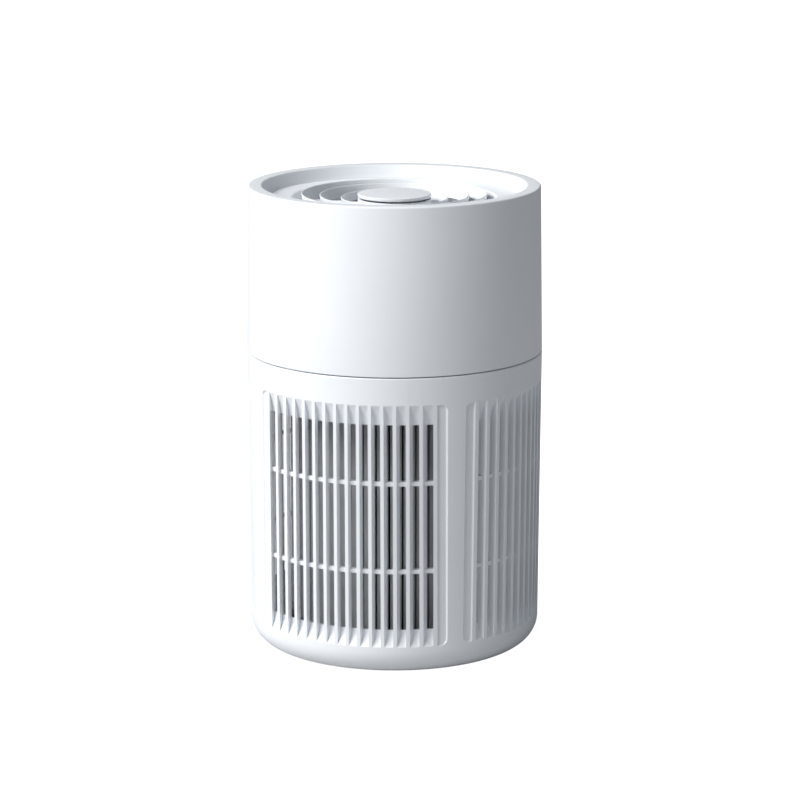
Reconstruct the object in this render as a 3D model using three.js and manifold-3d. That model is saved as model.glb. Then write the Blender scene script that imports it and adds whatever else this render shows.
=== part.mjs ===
// Desktop air purifier: a round tower with a barred intake below and a ringed outlet on top.
// Millimetres, +Z up. The origin is on the table, on the axis; the front window faces -Y.
import * as THREE from 'three';
import { mergeVertices } from 'three/addons/utils/BufferGeometryUtils.js';
import Module from 'manifold-3d';

const wasm = await Module();
wasm.setup();

// ---------------------------------------------------------------- driving dimensions

// Overall
const LOWER_HEIGHT = 169.8;        // lower casing, underside to seam
const UPPER_HEIGHT = 93.7;         // upper casing, its bottom edge to the rim
const SEAM_RADIUS = 84;            // widest point, at the seam
const RIM_TAPER = 1.4;             // radius lost from seam to rim
const BASE_TAPER = 1.2;            // radius lost from seam to underside
const FOOT_LIFT = 0.8;             // rubber feet hold the casing off the table
const FIT = 0.3;                   // gap between pieces that touch
const SEAM_GAP = 0.7;              // shadow gap between the two casings

// Casings
const UPPER_WALL = 2.5;
const LOWER_WALL = 4;
const FLOOR = 3;
const FOOT_FILLET = 14.5;
const SEAM_CHAMFER = 0.5;
const LIP_HEIGHT = 1.5;            // locating lip of the lower casing
const LIP_WALL = 1.2;
const LEDGE_WIDTH = 7;             // inner ledge that takes the casing screws
const LEDGE_THICKNESS = 3;
const LEDGE_DROP = 1.5;            // ledge top below the seam

// Windows
const WINDOW_COUNT = 4;
const PILLAR_WIDTH = 13;           // solid wall between two windows
const WINDOW_TOP_INSET = 15.4;     // window edge below the seam
const WINDOW_BASE_INSET = 17;      // window edge above the underside
const SCOOP_TOP = 11.4;            // height of the ramp at each end of a slot
const SCOOP_BASE = 9.2;
const SLAT_WIDTH = 2;
const SLAT_PITCH = 6.61;
const SLAT_DEPTH = 6.4;
const SLAT_ROOT = 1;               // the deep part of a slat runs this far past its slot
const CHANNEL_WIDTH = 3.5;         // least width of the closed channel beside the slats
const CHANNEL_DEPTH = 1.2;
const CHANNEL_END = 1.2;            // height of the steep ramp at each end of the channel
const RIB_SETBACK = 2.4;
const RIB_HEIGHT = 2.8;
const RIB_SLOPE = 0.5;
const RIB_STATIONS = [0.29, 0.719]; // along the open height

// Rim, bowl and outlet deck
const RIM_WIDTH = 7.8;
const RIM_ROUND = 1;
const BOWL_DEPTH = 7;
const BOWL_RUN = 3.8;
const SHELF_WIDTH = 12.4;
const ROLL_RADIUS = 2.3;
const DECK_THICKNESS = 1.7;
const DECK_SEAT = 4;               // ledge that carries the deck
const COLLAR_DEPTH = 7.4;
const BOWL_FOOT = [1, 1.4];         // last step of the bowl down to the deck: run and rise

// Louvre rings, hub and button
const HUB_RADIUS = 20.8;
const HUB_WALL = 1.6;
const HUB_TOP_DROP = 9;            // below the rim
const HUB_DEPTH = 8.7;
const HUB_WEB = 1.5;
const HUB_WEB_DROP = 2.7;          // web below the hub's rim
const HUB_BORE = 5;                // web hole round the switch
const BUTTON_TOP_DROP = 5.3;
const BUTTON_THICKNESS = 2.7;
const BUTTON_DOME = 0.6;
const BUTTON_TRAVEL = 0.7;
const BUTTON_EDGE = 1.2;           // radius of the button's rounded edge
const HOOK_THICKNESS = 1.4;
const HOOK_WIDTH = 3;
const HOOK_REACH = 1.3;            // barb beyond the hook's leg
const HOOK_SPACING = 4;            // hooks inside the circle of the board screws
const BOARD_SCREW_INSET = 5.2;     // board screws inside the hub's wall
const POST_RADIUS = 2.4;
const STEM_RADIUS = 2.6;
const PLUNGER_RADIUS = 1.7;
const PLUNGER_HEIGHT = 2.2;
const PLUNGER_PROUD = 1.2;         // plunger above its switch
const SWITCH_HEIGHT = 3.3;
const SWITCH_WELL = 1.6;
const BOARD_DROP = 2.5;            // control board below the hub's web
const RING_STATIONS = [0.27, 0.606, 0.896]; // from hub to outlet edge
const RING_TOP_DROPS = [7.4, 5.9, 4.95];
const RING_FOOT_DROP = 12;
const RING_SLOPE = 0.85;           // run per rise
const RING_EDGE = 0.8;
const RING_ROOT = 1.4;
const SPOKE_COUNT = 6;
const SPOKE_WIDTH = 1.8;
const SPOKE_HEIGHT = 5;
const SPOKE_RISE = 0.5;            // spokes above the feet of the rings
const GRILLE_RIM = 1.8;            // outer ring that closes the grille
const GRILLE_FIT = 0.4;

// Fan
const BAY_DEPTH = 15.5;            // room for the board between duct and casing
const DUCT_WALL = 2;
const DUCT_FLANGE = 6.3;
const DUCT_FLANGE_THICKNESS = 4;
const DUCT_TAPER_HEIGHT = 14;
const IMPELLER_GAP = 14;           // impeller edge to duct
const BLADE_COUNT = 9;
const BLADE_THICKNESS = 1.6;
const BLADE_SWEEP = 42;            // degrees from root to tip
const IMPELLER_PLATE = 1.8;
const INLET_CLEARANCE = 2;
const VANE_COUNT = 7;
const VANE_HEIGHT = 9;
const VANE_THICKNESS = 2;
const VANE_DROP = 9.3;             // vanes below the top of the duct
const PLATE_THICKNESS = 3;
const THROAT_WALL = 1.6;
const THROAT_HEIGHT = 6.6;
const MOUTH_FLARE = 7;
const GUARD_WIDTH = 1.8;
const GUARD_HEIGHT = 1.6;
const GUARD_SPOKES = 6;
const BLADE_ROOT = 0.6;            // blade root as a share of the throat radius
const HUB_NOSE = 13;               // impeller hub above the underside of its blades
const HUB_NOSE_WALL = 3.7;
const NUT_RADIUS = 4.2;
const NUT_HEIGHT = 3;

// Motor
const MOTOR_RADIUS = 18;
const MOTOR_HEIGHT = 19.7;
const MOTOR_WALL = 1;
const MOTOR_FLOOR = 2;
const SEAT_RING = 1.5;             // wall round each bearing
const SEAT_FLOOR = 1;              // material under the lower bearing
const MAGNET_RADIUS = 9.5;
const AIR_GAP = 0.7;               // magnet to stator
const MAGNET_INSET = 0.5;          // magnet shorter than the stator at each end
const SHAFT_PROUD = 1.2;           // shaft below its nut
const CORE_GAP = 1.2;              // bearing to stator
const SLEEVE_LIFT = 2;
const SLEEVE_DROP = 5.5;           // sleeve below the motor's top
const CAP_THICKNESS = 1.7;
const CUP_WALL = 2;
const SLEEVE_THICKNESS = 1.4;
const SHAFT_RADIUS = 2;
const BEARING_RADIUS = 5.7;
const BEARING_WIDTH = 3;
const MOTOR_SCREW_CIRCLE = 12;
const MOTOR_RECESS = 1.8;          // motor top below the rim of its cup

// Filter and base cover
const FILTER_SPACE = 17.6;         // from the back of the slats to the filter
const PLEAT_DEPTH = 18.2;
const NET_THICKNESS = 0.6;
const CARBON_THICKNESS = 2.3;
const CAP_OVERHANG = 1;
const FILTER_CAP = 4;
const GASKET_THICKNESS = 3;
const GASKET_WIDTH = 11;
const COVER_MARGIN = 1.3;          // cover edge beyond the filter caps
const COVER_THICKNESS = 2.5;
const SEAT_HEIGHT = 13.2;          // filter seat above the cover's underside
const SEAT_WALL = 2.5;
const GRIP_RADIUS = 24;
const GRIP_DEPTH = 9.5;
const GRIP_BAR = 9;
const LUG_COUNT = 4;
const LUG_SPAN = 16;               // degrees
const LUG_REACH = 3.2;
const LUG_THICKNESS = 2.5;
const NOTCH_SPAN = 19;             // degrees
const UNLOCK_TURN = 20;            // degrees
const FOOT_COUNT = 4;
const FOOT_SPAN = 13;              // degrees
const FOOT_WIDTH = 3.4;
const FOOT_RECESS = 0.9;

// Electronics and fasteners
const BOARD_THICKNESS = 1.6;
const BOARD_SIZE = [44, 29];
const SOCKET_SIZE = [10, 8, 9];
const SOCKET_RADIUS = 4;
const SOCKET_BORE = 2.8;
const SOCKET_PIN = 0.9;
const SOCKET_RISE = 10;            // socket axis above the inlet plate
const BOARD_GAP = 5;               // main board from the duct
const BOARD_SCREW_EDGE = 4;        // screws in from the board's corner
const BOSS_HEIGHT = 16;
const BOSS_RIB = 3;
const BOARD_BOSS_RADIUS = 3;
const SWITCH_SIZE = 6;
const LEAD_RADIUS = 1;
const SCREW_SHANK = 1.4;
const SCREW_HEAD = 2.7;
const SCREW_HEAD_HEIGHT = 1.6;
const SMALL_SHANK = 1;
const SMALL_HEAD = 2;

// Facets round the axis
const COARSE = 28;
const FINE = 40;
const SMALL = 16;
const TINY = 8;

// ---------------------------------------------------------------- derived places

const baseZ = FOOT_LIFT;
const seamZ = baseZ + LOWER_HEIGHT;
const upperZ = seamZ + SEAM_GAP;
const rimZ = upperZ + UPPER_HEIGHT;
const rimRadius = SEAM_RADIUS - RIM_TAPER;
const baseRadius = SEAM_RADIUS - BASE_TAPER;
const upperInner = SEAM_RADIUS - UPPER_WALL;
const lowerInner = SEAM_RADIUS - LOWER_WALL;
const lowerRadiusAt = (z) => baseRadius + BASE_TAPER * (z - baseZ) / LOWER_HEIGHT;

const windowTop = seamZ - WINDOW_TOP_INSET;
const windowBase = baseZ + WINDOW_BASE_INSET;
const openTop = windowTop - SCOOP_TOP;
const openBase = windowBase + SCOOP_BASE;
const slatTop = openTop + SLAT_ROOT;
const slatBase = openBase - SLAT_ROOT;

const deckZ = rimZ - BOWL_DEPTH;
const deckRadius = rimRadius - RIM_WIDTH - BOWL_RUN;
const outletRadius = deckRadius - SHELF_WIDTH - ROLL_RADIUS;
const collarZ = deckZ - COLLAR_DEPTH;

const ledgeZ = seamZ - LEDGE_DROP;
const plateZ = ledgeZ + FIT;
const plateTop = plateZ + PLATE_THICKNESS;
const ledgeScrewRadius = lowerInner - LEDGE_WIDTH / 2;
const ductOuter = upperInner - BAY_DEPTH;
const ductInner = ductOuter - DUCT_WALL;
const impellerRadius = ductInner - IMPELLER_GAP;
const ductTopInner = outletRadius + FIT;
const ductTopOuter = ductTopInner + DUCT_WALL;
const ductTop = collarZ - FIT;

const filterRadius = SEAM_RADIUS - SLAT_DEPTH - FILTER_SPACE;
const mediaRadius = filterRadius - NET_THICKNESS - FIT;
const mediaBore = mediaRadius - PLEAT_DEPTH;
const filterBore = mediaBore - FIT - CARBON_THICKNESS;
const capRadius = filterRadius + CAP_OVERHANG;
const throatRadius = filterBore - 1;
const mouthRadius = throatRadius + MOUTH_FLARE;

const hubTop = rimZ - HUB_TOP_DROP;
const cupInner = MOTOR_RADIUS + SLEEVE_THICKNESS + 2 * FIT;
const cupOuter = cupInner + CUP_WALL;
const hubBase = hubTop - HUB_DEPTH;
const cupTop = hubBase - FIT;
const motorZ = cupTop - MOTOR_RECESS - CAP_THICKNESS - FIT - MOTOR_HEIGHT;
const cupFloorTop = motorZ - FIT;
const cupFloor = cupFloorTop - CUP_WALL;
const impellerTop = cupFloor - FIT - SCREW_HEAD_HEIGHT - 2;
const throatTop = plateTop + THROAT_HEIGHT;
const impellerBase = throatTop + INLET_CLEARANCE;
const vaneTop = ductTop - VANE_DROP;
const leadZ = vaneTop + LEAD_RADIUS + FIT;

const coverRadius = capRadius + COVER_MARGIN;
const coverHole = coverRadius + FIT;
const filterZ = baseZ + SEAT_HEIGHT + FIT;
const filterTop = plateZ - FIT;

// ---------------------------------------------------------------- geometry helpers

const radians = (degrees) => degrees * Math.PI / 180;

// A closed polygon, counter-clockwise, without the repeated last point.
function ordered(points) {
  const area = points.reduce((sum, [x, y], i) => {
    const [nextX, nextY] = points[(i + 1) % points.length];
    return sum + x * nextY - nextX * y;
  }, 0);
  return area < 0 ? [...points].reverse() : points;
}

// The points of an arc in a profile, centre (x, y), from one angle to another in degrees.
function arc(x, y, radius, from, to, steps) {
  return Array.from({ length: steps + 1 }, (_, i) => {
    const angle = radians(from + (to - from) * i / steps);
    return [x + radius * Math.cos(angle), y + radius * Math.sin(angle)];
  });
}

// A profile of [radius, height] pairs turned round the Z axis.
function turned(profile, segments) {
  const onAxis = profile.filter(([r]) => r === 0).length > 1;
  const points = ordered(profile);
  const start = onAxis ? points.findIndex(([r], i) => r === 0 && points.at(i - 1)[0] === 0) : 0;
  const loop = [...points.slice(start), ...points.slice(0, start)];
  if (!onAxis) loop.push(loop[0]);
  const geometry = new THREE.LatheGeometry(loop.map(([r, z]) => new THREE.Vector2(r, z)), segments);
  return geometry.rotateX(Math.PI / 2);
}

// A ring of rectangular section.
function ring(inner, outer, bottom, top, segments) {
  return turned([[inner, bottom], [outer, bottom], [outer, top], [inner, top]], segments);
}

// A plain round bar from one height to another.
function bar(radius, bottom, top, segments) {
  return turned([[0, bottom], [radius, bottom], [radius, top], [0, top]], segments);
}

// An outline in X and Y raised from one height to another.
function raised(outline, bottom, top) {
  const shape = new THREE.Shape(ordered(outline).map(([x, y]) => new THREE.Vector2(x, y)));
  const geometry = new THREE.ExtrudeGeometry(shape, { depth: top - bottom, bevelEnabled: false });
  return geometry.translate(0, 0, bottom);
}

// A box given by its lowest and highest corners.
function block(low, high) {
  const size = high.map((value, i) => value - low[i]);
  const middle = high.map((value, i) => (value + low[i]) / 2);
  return new THREE.BoxGeometry(...size).translate(...middle);
}

// The outline of a piece of a ring, its middle at the given angle.
function sector(inner, outer, middle, span, steps) {
  const from = middle - span / 2;
  const to = middle + span / 2;
  return [...arc(0, 0, outer, from, to, steps), ...arc(0, 0, inner, to, from, steps)];
}

// A closed geometry as a solid that can be cut and joined.
function solid(geometry) {
  const bare = geometry.clone();
  bare.deleteAttribute('normal');
  bare.deleteAttribute('uv');
  const merged = mergeVertices(bare, 1e-4);
  const corners = [];
  const index = merged.index.array;
  for (let i = 0; i < index.length; i += 3) {
    const [a, b, c] = [index[i], index[i + 1], index[i + 2]];
    if (a !== b && b !== c && c !== a) corners.push(a, b, c);
  }
  return new wasm.Manifold(new wasm.Mesh({
    numProp: 3,
    vertProperties: new Float32Array(merged.attributes.position.array),
    triVerts: new Uint32Array(corners),
  }));
}

// The first geometry with the others joined to it.
function joined(first, others) {
  return others.reduce((whole, next) => whole.add(solid(next)), solid(first));
}

// A solid with the given geometries cut away.
function cut(whole, tools) {
  return tools.reduce((left, tool) => left.subtract(solid(tool)), whole);
}

// A finished solid as a plain geometry again.
function geometryOf(whole) {
  const mesh = whole.getMesh();
  const positions = new Float32Array(mesh.numVert * 3);
  for (let i = 0; i < mesh.numVert; i += 1) {
    for (let axis = 0; axis < 3; axis += 1) {
      positions[3 * i + axis] = mesh.vertProperties[i * mesh.numProp + axis];
    }
  }
  const geometry = new THREE.BufferGeometry();
  geometry.setAttribute('position', new THREE.BufferAttribute(positions, 3));
  geometry.setIndex(new THREE.BufferAttribute(new Uint32Array(mesh.triVerts), 1));
  geometry.computeVertexNormals();
  return geometry;
}

// A copy of a geometry turned round the Z axis, in degrees.
const spun = (geometry, degrees) => geometry.clone().rotateZ(radians(degrees));

// The angles of an evenly spaced pattern, in degrees.
const pattern = (count, start = 0) => Array.from({ length: count }, (_, i) => start + 360 * i / count);

// ---------------------------------------------------------------- looks

const LOOKS = {
  white: { color: 0xe9ebee, roughness: 0.42, metalness: 0 },
  fan: { color: 0xc9ccd0, roughness: 0.5, metalness: 0 },
  steel: { color: 0xb6b9bd, roughness: 0.3, metalness: 1 },
  zinc: { color: 0x9fa3a8, roughness: 0.38, metalness: 1 },
  iron: { color: 0x5d5f63, roughness: 0.6, metalness: 0.9 },
  magnet: { color: 0x38393c, roughness: 0.5, metalness: 0.6 },
  rubber: { color: 0x26272a, roughness: 0.85, metalness: 0 },
  foam: { color: 0x3a3b3e, roughness: 0.95, metalness: 0 },
  media: { color: 0x2e3033, roughness: 0.95, metalness: 0 },
  carbon: { color: 0x141416, roughness: 0.95, metalness: 0 },
  board: { color: 0x1f4d38, roughness: 0.5, metalness: 0 },
  black: { color: 0x18191b, roughness: 0.5, metalness: 0 },
};

const purifier = new THREE.Group();

// Adds one named piece to a group. The shape is a geometry or a finished solid.
function piece(parent, name, shape, look) {
  const geometry = shape.isBufferGeometry ? geometryOf(solid(shape)) : geometryOf(shape);
  const mesh = new THREE.Mesh(geometry, new THREE.MeshStandardMaterial(LOOKS[look]));
  mesh.name = name;
  parent.add(mesh);
  return mesh;
}

// A group standing at a given height.
function section(z) {
  const group = new THREE.Group();
  group.position.z = z;
  purifier.add(group);
  return group;
}

// A pan-head screw: the head under height 0, the shank above it.
function screw(shank, head, length) {
  return turned([
    [0, -SCREW_HEAD_HEIGHT],
    [head, -SCREW_HEAD_HEIGHT],
    [head, 0],
    [shank, 0],
    [shank, length],
    [0, length],
  ], TINY);
}

// ---------------------------------------------------------------- lower casing

function lowerShell() {
  const fillet = arc(baseRadius - FOOT_FILLET, baseZ + FOOT_FILLET, FOOT_FILLET, -90, 0, 4);
  const filletInside = FOOT_FILLET - LOWER_WALL;
  const innerFillet = arc(baseRadius - FOOT_FILLET, baseZ + FOOT_FILLET, filletInside, 0, -84, 2);
  const innerAt = (z, depth) => lowerRadiusAt(z) - depth;
  return turned([
    [coverHole, baseZ],
    ...fillet,
    [SEAM_RADIUS, seamZ - SEAM_CHAMFER],
    [SEAM_RADIUS - SEAM_CHAMFER, seamZ],
    [lowerInner + LIP_WALL, seamZ],
    [lowerInner + LIP_WALL, seamZ + LIP_HEIGHT],
    [lowerInner, seamZ + LIP_HEIGHT],
    [lowerInner, ledgeZ],
    [lowerInner - LEDGE_WIDTH, ledgeZ],
    [lowerInner - LEDGE_WIDTH, ledgeZ - LEDGE_THICKNESS],
    [innerAt(ledgeZ, LOWER_WALL), ledgeZ - LEDGE_THICKNESS],
    [innerAt(slatTop, LOWER_WALL), slatTop],
    [innerAt(slatTop, SLAT_DEPTH), slatTop],
    [innerAt(slatBase, SLAT_DEPTH), slatBase],
    [innerAt(slatBase, LOWER_WALL), slatBase],
    ...innerFillet,
    [baseRadius - FOOT_FILLET, baseZ + FLOOR],
    [coverHole, baseZ + FLOOR],
  ], FINE);
}

// Turns a [depth, height] profile into a bar across the front window. Depth 0 is the casing surface
// at the middle of the span from one offset to the other, and negative depths are inside.
function acrossWindow(profile, fromOffset, toOffset) {
  const middle = (fromOffset + toOffset) / 2;
  const surface = Math.sqrt(SEAM_RADIUS ** 2 - middle ** 2) - BASE_TAPER / 2;
  const shape = new THREE.Shape(ordered(profile).map(([w, z]) => new THREE.Vector2(w + surface, z)));
  const depth = toOffset - fromOffset;
  const geometry = new THREE.ExtrudeGeometry(shape, { depth, bevelEnabled: false });
  const outward = new THREE.Vector3(0, -1, 0);
  const up = new THREE.Vector3(0, 0, 1);
  const across = new THREE.Vector3(-1, 0, 0);
  const turn = new THREE.Matrix4().makeBasis(outward, up, across);
  return geometry.applyMatrix4(turn).translate(toOffset, 0, 0);
}

// The section of one slot, with the cross ribs left standing inside it.
function slotProfile() {
  const beyond = -2 * SLAT_DEPTH;
  const ribs = [...RIB_STATIONS].reverse().flatMap((station) => {
    const middle = openBase + station * (openTop - openBase);
    const top = middle + RIB_HEIGHT / 2;
    const bottom = middle - RIB_HEIGHT / 2;
    return [[beyond, top], [-RIB_SETBACK, top - RIB_SLOPE], [-RIB_SETBACK, bottom], [beyond, bottom]];
  });
  return [
    [SLAT_DEPTH, windowTop],
    [0, windowTop],
    [-LOWER_WALL, openTop],
    [beyond, openTop],
    ...ribs,
    [beyond, openBase],
    [-LOWER_WALL, openBase],
    [0, windowBase],
    [SLAT_DEPTH, windowBase],
  ];
}

// The closed channel between the last slat and the window's side.
function channelProfile() {
  return [
    [SLAT_DEPTH, windowTop],
    [0, windowTop],
    [-CHANNEL_DEPTH, windowTop - CHANNEL_END],
    [-CHANNEL_DEPTH, windowBase + CHANNEL_END],
    [0, windowBase],
    [SLAT_DEPTH, windowBase],
  ];
}

function windowCutters() {
  const halfAngle = Math.PI / WINDOW_COUNT - Math.asin(PILLAR_WIDTH / 2 / SEAM_RADIUS);
  const halfWidth = SEAM_RADIUS * Math.sin(halfAngle);
  const slots = Math.floor((2 * (halfWidth - CHANNEL_WIDTH) - SLAT_WIDTH) / SLAT_PITCH);
  const field = slots * SLAT_PITCH + SLAT_WIDTH;
  const cutters = Array.from({ length: slots }, (_, i) => {
    const from = -field / 2 + SLAT_WIDTH + i * SLAT_PITCH;
    return acrossWindow(slotProfile(), from, from + SLAT_PITCH - SLAT_WIDTH);
  });
  cutters.push(acrossWindow(channelProfile(), -halfWidth, -field / 2));
  cutters.push(acrossWindow(channelProfile(), field / 2, halfWidth));
  return cutters;
}

function lowerCasing() {
  const windows = windowCutters();
  const windowCuts = pattern(WINDOW_COUNT).flatMap((angle) => windows.map((tool) => spun(tool, angle)));
  const screwHole = bar(SCREW_SHANK + FIT, ledgeZ - 2 * LEDGE_THICKNESS, ledgeZ + 1, TINY);
  const screwCuts = pattern(4, 45).map((angle) => (
    spun(screwHole.clone().translate(ledgeScrewRadius, 0, 0), angle)
  ));
  const notchOuter = coverRadius + LUG_REACH + 2 * FIT;
  const notchCuts = pattern(LUG_COUNT, 45 - UNLOCK_TURN).map((angle) => (
    raised(sector(coverHole - 1, notchOuter, angle, NOTCH_SPAN, 3), baseZ - 1, baseZ + FLOOR + 1)
  ));
  const footCuts = pattern(FOOT_COUNT).map((angle) => (
    footShape(angle, FIT / 2, baseZ - 1, baseZ + FOOT_RECESS)
  ));
  return cut(solid(lowerShell()), [...windowCuts, ...screwCuts, ...notchCuts, ...footCuts]);
}

// A foot pad: a short piece of a ring under the flat of the casing.
function footShape(angle, grow, bottom, top) {
  const middle = (coverHole + baseRadius - FOOT_FILLET) / 2;
  const inner = middle - FOOT_WIDTH / 2 - grow;
  const outer = middle + FOOT_WIDTH / 2 + grow;
  const spanGrowth = 2 * grow / middle * 180 / Math.PI;
  return raised(sector(inner, outer, angle, FOOT_SPAN + spanGrowth, 3), bottom, top);
}

piece(purifier, 'lower_casing', lowerCasing(), 'white');
pattern(FOOT_COUNT).forEach((angle, i) => {
  piece(purifier, `foot_${i + 1}`, footShape(angle, -FIT / 2, 0, baseZ + FOOT_RECESS - FIT), 'rubber');
});
pattern(4, 45).forEach((angle, i) => {
  const length = plateTop + BOSS_HEIGHT - 6 - ledgeZ + LEDGE_THICKNESS;
  const mesh = piece(purifier, `casing_screw_${i + 1}`, screw(SCREW_SHANK, SCREW_HEAD, length), 'zinc');
  mesh.position.set(
    ledgeScrewRadius * Math.cos(radians(angle)),
    ledgeScrewRadius * Math.sin(radians(angle)),
    ledgeZ - LEDGE_THICKNESS - FIT,
  );
});

// ---------------------------------------------------------------- upper casing

const bossBase = plateTop + FIT;
const bossTop = bossBase + BOSS_HEIGHT;
const bossRadius = ledgeScrewRadius - ductOuter - DUCT_FLANGE - 2 * FIT;
const boardY = ductOuter + BOARD_GAP;
const socketY = boardY + BOARD_THICKNESS + FIT;
const socketZ = plateTop + SOCKET_RISE;
const boardZ = socketZ - SOCKET_SIZE[2] / 2 - 1;
const boardScrewX = BOARD_SIZE[0] / 2 - BOARD_SCREW_EDGE;
const boardScrewZ = boardZ + BOARD_SIZE[1] - BOARD_SCREW_EDGE;

function upperShell() {
  const innerTop = rimZ - UPPER_WALL;
  const seatRadius = deckRadius - DECK_SEAT;
  const seatTop = deckZ - DECK_THICKNESS - FIT;
  const bowlTop = rimRadius - RIM_WIDTH;
  return turned([
    [SEAM_RADIUS, upperZ],
    ...arc(rimRadius - RIM_ROUND, rimZ - RIM_ROUND, RIM_ROUND, 0, 90, 2),
    ...arc(bowlTop + RIM_ROUND, rimZ - RIM_ROUND, RIM_ROUND, 90, 150, 2),
    [deckRadius + BOWL_FOOT[0], deckZ + BOWL_FOOT[1]],
    [deckRadius, deckZ],
    [deckRadius, seatTop],
    [seatRadius, seatTop],
    [seatRadius, seatTop - UPPER_WALL],
    [deckRadius + UPPER_WALL, seatTop - UPPER_WALL],
    [bowlTop + UPPER_WALL, innerTop],
    [rimRadius - UPPER_WALL, innerTop],
    [upperInner, upperZ],
  ], FINE);
}

function upperCasing() {
  const boss = bar(bossRadius, bossBase, bossTop, TINY).translate(ledgeScrewRadius, 0, 0);
  const rib = block(
    [ledgeScrewRadius + bossRadius / 2, -BOSS_RIB / 2, bossBase],
    [upperInner + UPPER_WALL / 2, BOSS_RIB / 2, bossTop],
  );
  const bosses = pattern(4, 45).flatMap((angle) => [spun(boss, angle), spun(rib, angle)]);
  const bossHole = bar(SCREW_SHANK + FIT, bossBase - 1, bossTop - 3, TINY)
    .translate(ledgeScrewRadius, 0, 0);
  const boardBossStart = boardY + BOARD_THICKNESS + FIT;
  const boardBossEnd = Math.sqrt(upperInner ** 2 - boardScrewX ** 2) + UPPER_WALL / 2;
  const sides = [-1, 1];
  const boardBosses = sides.map((side) => (
    alongY(bar(BOARD_BOSS_RADIUS, boardBossStart, boardBossEnd, TINY))
      .translate(side * boardScrewX, 0, boardScrewZ)
  ));
  const boardHoles = sides.map((side) => (
    alongY(bar(SMALL_SHANK + FIT, boardBossStart - 1, boardBossStart + 5, TINY))
      .translate(side * boardScrewX, 0, boardScrewZ)
  ));
  const socketHole = alongY(bar(SOCKET_RADIUS + FIT, upperInner - 6, SEAM_RADIUS + 2, SMALL))
    .translate(0, 0, socketZ);
  const shell = joined(upperShell(), [...bosses, ...boardBosses]);
  return cut(shell, [...pattern(4, 45).map((angle) => spun(bossHole, angle)), ...boardHoles, socketHole]);
}

// A bar along Z laid along +Y.
function alongY(geometry) {
  return geometry.rotateX(-Math.PI / 2);
}

piece(purifier, 'upper_casing', upperCasing(), 'white');

// ---------------------------------------------------------------- outlet

function outletDeck() {
  const rollX = outletRadius + ROLL_RADIUS;
  const rollZ = deckZ - ROLL_RADIUS;
  const outer = deckRadius - FIT;
  return turned([
    [outletRadius, collarZ],
    [outletRadius + DECK_THICKNESS, collarZ],
    [outletRadius + DECK_THICKNESS, rollZ],
    [rollX + 0.4, deckZ - DECK_THICKNESS],
    [outer, deckZ - DECK_THICKNESS],
    [outer, deckZ],
    ...arc(rollX, rollZ, ROLL_RADIUS, 90, 180, 3),
  ], COARSE);
}

const webTop = hubTop - HUB_WEB_DROP;
const webBase = webTop - HUB_WEB;
const hookAngles = pattern(3, 30);
const boardScrewCircle = HUB_RADIUS - HUB_WALL - BOARD_SCREW_INSET;
const hookCircle = boardScrewCircle - HOOK_SPACING;
const boardTop = webBase - BOARD_DROP;
const switchBase = boardTop + FIT;
const switchTop = switchBase + SWITCH_HEIGHT;

function louvreRing(station, topDrop) {
  const top = rimZ - topDrop;
  const foot = rimZ - RING_FOOT_DROP;
  const radius = HUB_RADIUS + station * (outletRadius - HUB_RADIUS);
  const footRadius = radius - RING_SLOPE * (top - foot);
  return turned([
    [radius, top],
    [radius - RING_EDGE, top],
    [footRadius - RING_ROOT, foot],
    [footRadius, foot],
  ], COARSE);
}

function outletGrille() {
  const spokeTop = rimZ - RING_FOOT_DROP + SPOKE_RISE;
  const rimOuter = outletRadius - GRILLE_FIT;
  const hub = turned([
    [HUB_RADIUS - HUB_WALL, hubBase],
    [HUB_RADIUS, hubBase],
    [HUB_RADIUS, hubTop],
    [HUB_RADIUS - HUB_WALL, hubTop],
    [HUB_RADIUS - HUB_WALL, webTop],
    [HUB_BORE, webTop],
    [HUB_BORE, webBase],
    [HUB_RADIUS - HUB_WALL, webBase],
  ], COARSE);
  const outerRing = ring(rimOuter - GRILLE_RIM, rimOuter, spokeTop - SPOKE_HEIGHT, spokeTop, COARSE);
  const rings = RING_STATIONS.map((station, i) => louvreRing(station, RING_TOP_DROPS[i]));
  const spoke = block(
    [HUB_RADIUS - HUB_WALL / 2, -SPOKE_WIDTH / 2, spokeTop - SPOKE_HEIGHT],
    [rimOuter - GRILLE_RIM / 3, SPOKE_WIDTH / 2, spokeTop],
  );
  const spokes = pattern(SPOKE_COUNT).map((angle) => spun(spoke, angle));
  const screwPost = bar(POST_RADIUS, boardTop + FIT, webTop - 0.5, TINY).translate(boardScrewCircle, 0, 0);
  const posts = pattern(2).map((angle) => spun(screwPost, angle));
  const postHole = bar(SMALL_SHANK + FIT, boardTop, webTop - 1, TINY).translate(boardScrewCircle, 0, 0);
  const slotWidth = HOOK_WIDTH + 1;
  const hookSlot = block(
    [hookCircle - HOOK_THICKNESS / 2 - 0.5, -slotWidth / 2, webBase - 1],
    [hookCircle + HOOK_THICKNESS / 2 + HOOK_REACH + 0.6, slotWidth / 2, webTop + 1],
  );
  const whole = joined(hub, [outerRing, ...spokes, ...rings, ...posts]);
  return cut(whole, [
    ...pattern(2).map((angle) => spun(postHole, angle)),
    ...hookAngles.map((angle) => spun(hookSlot, angle)),
  ]);
}

const buttonTop = rimZ - BUTTON_TOP_DROP;
const buttonBase = buttonTop - BUTTON_THICKNESS;
const plungerTop = switchTop + PLUNGER_PROUD;

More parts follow.
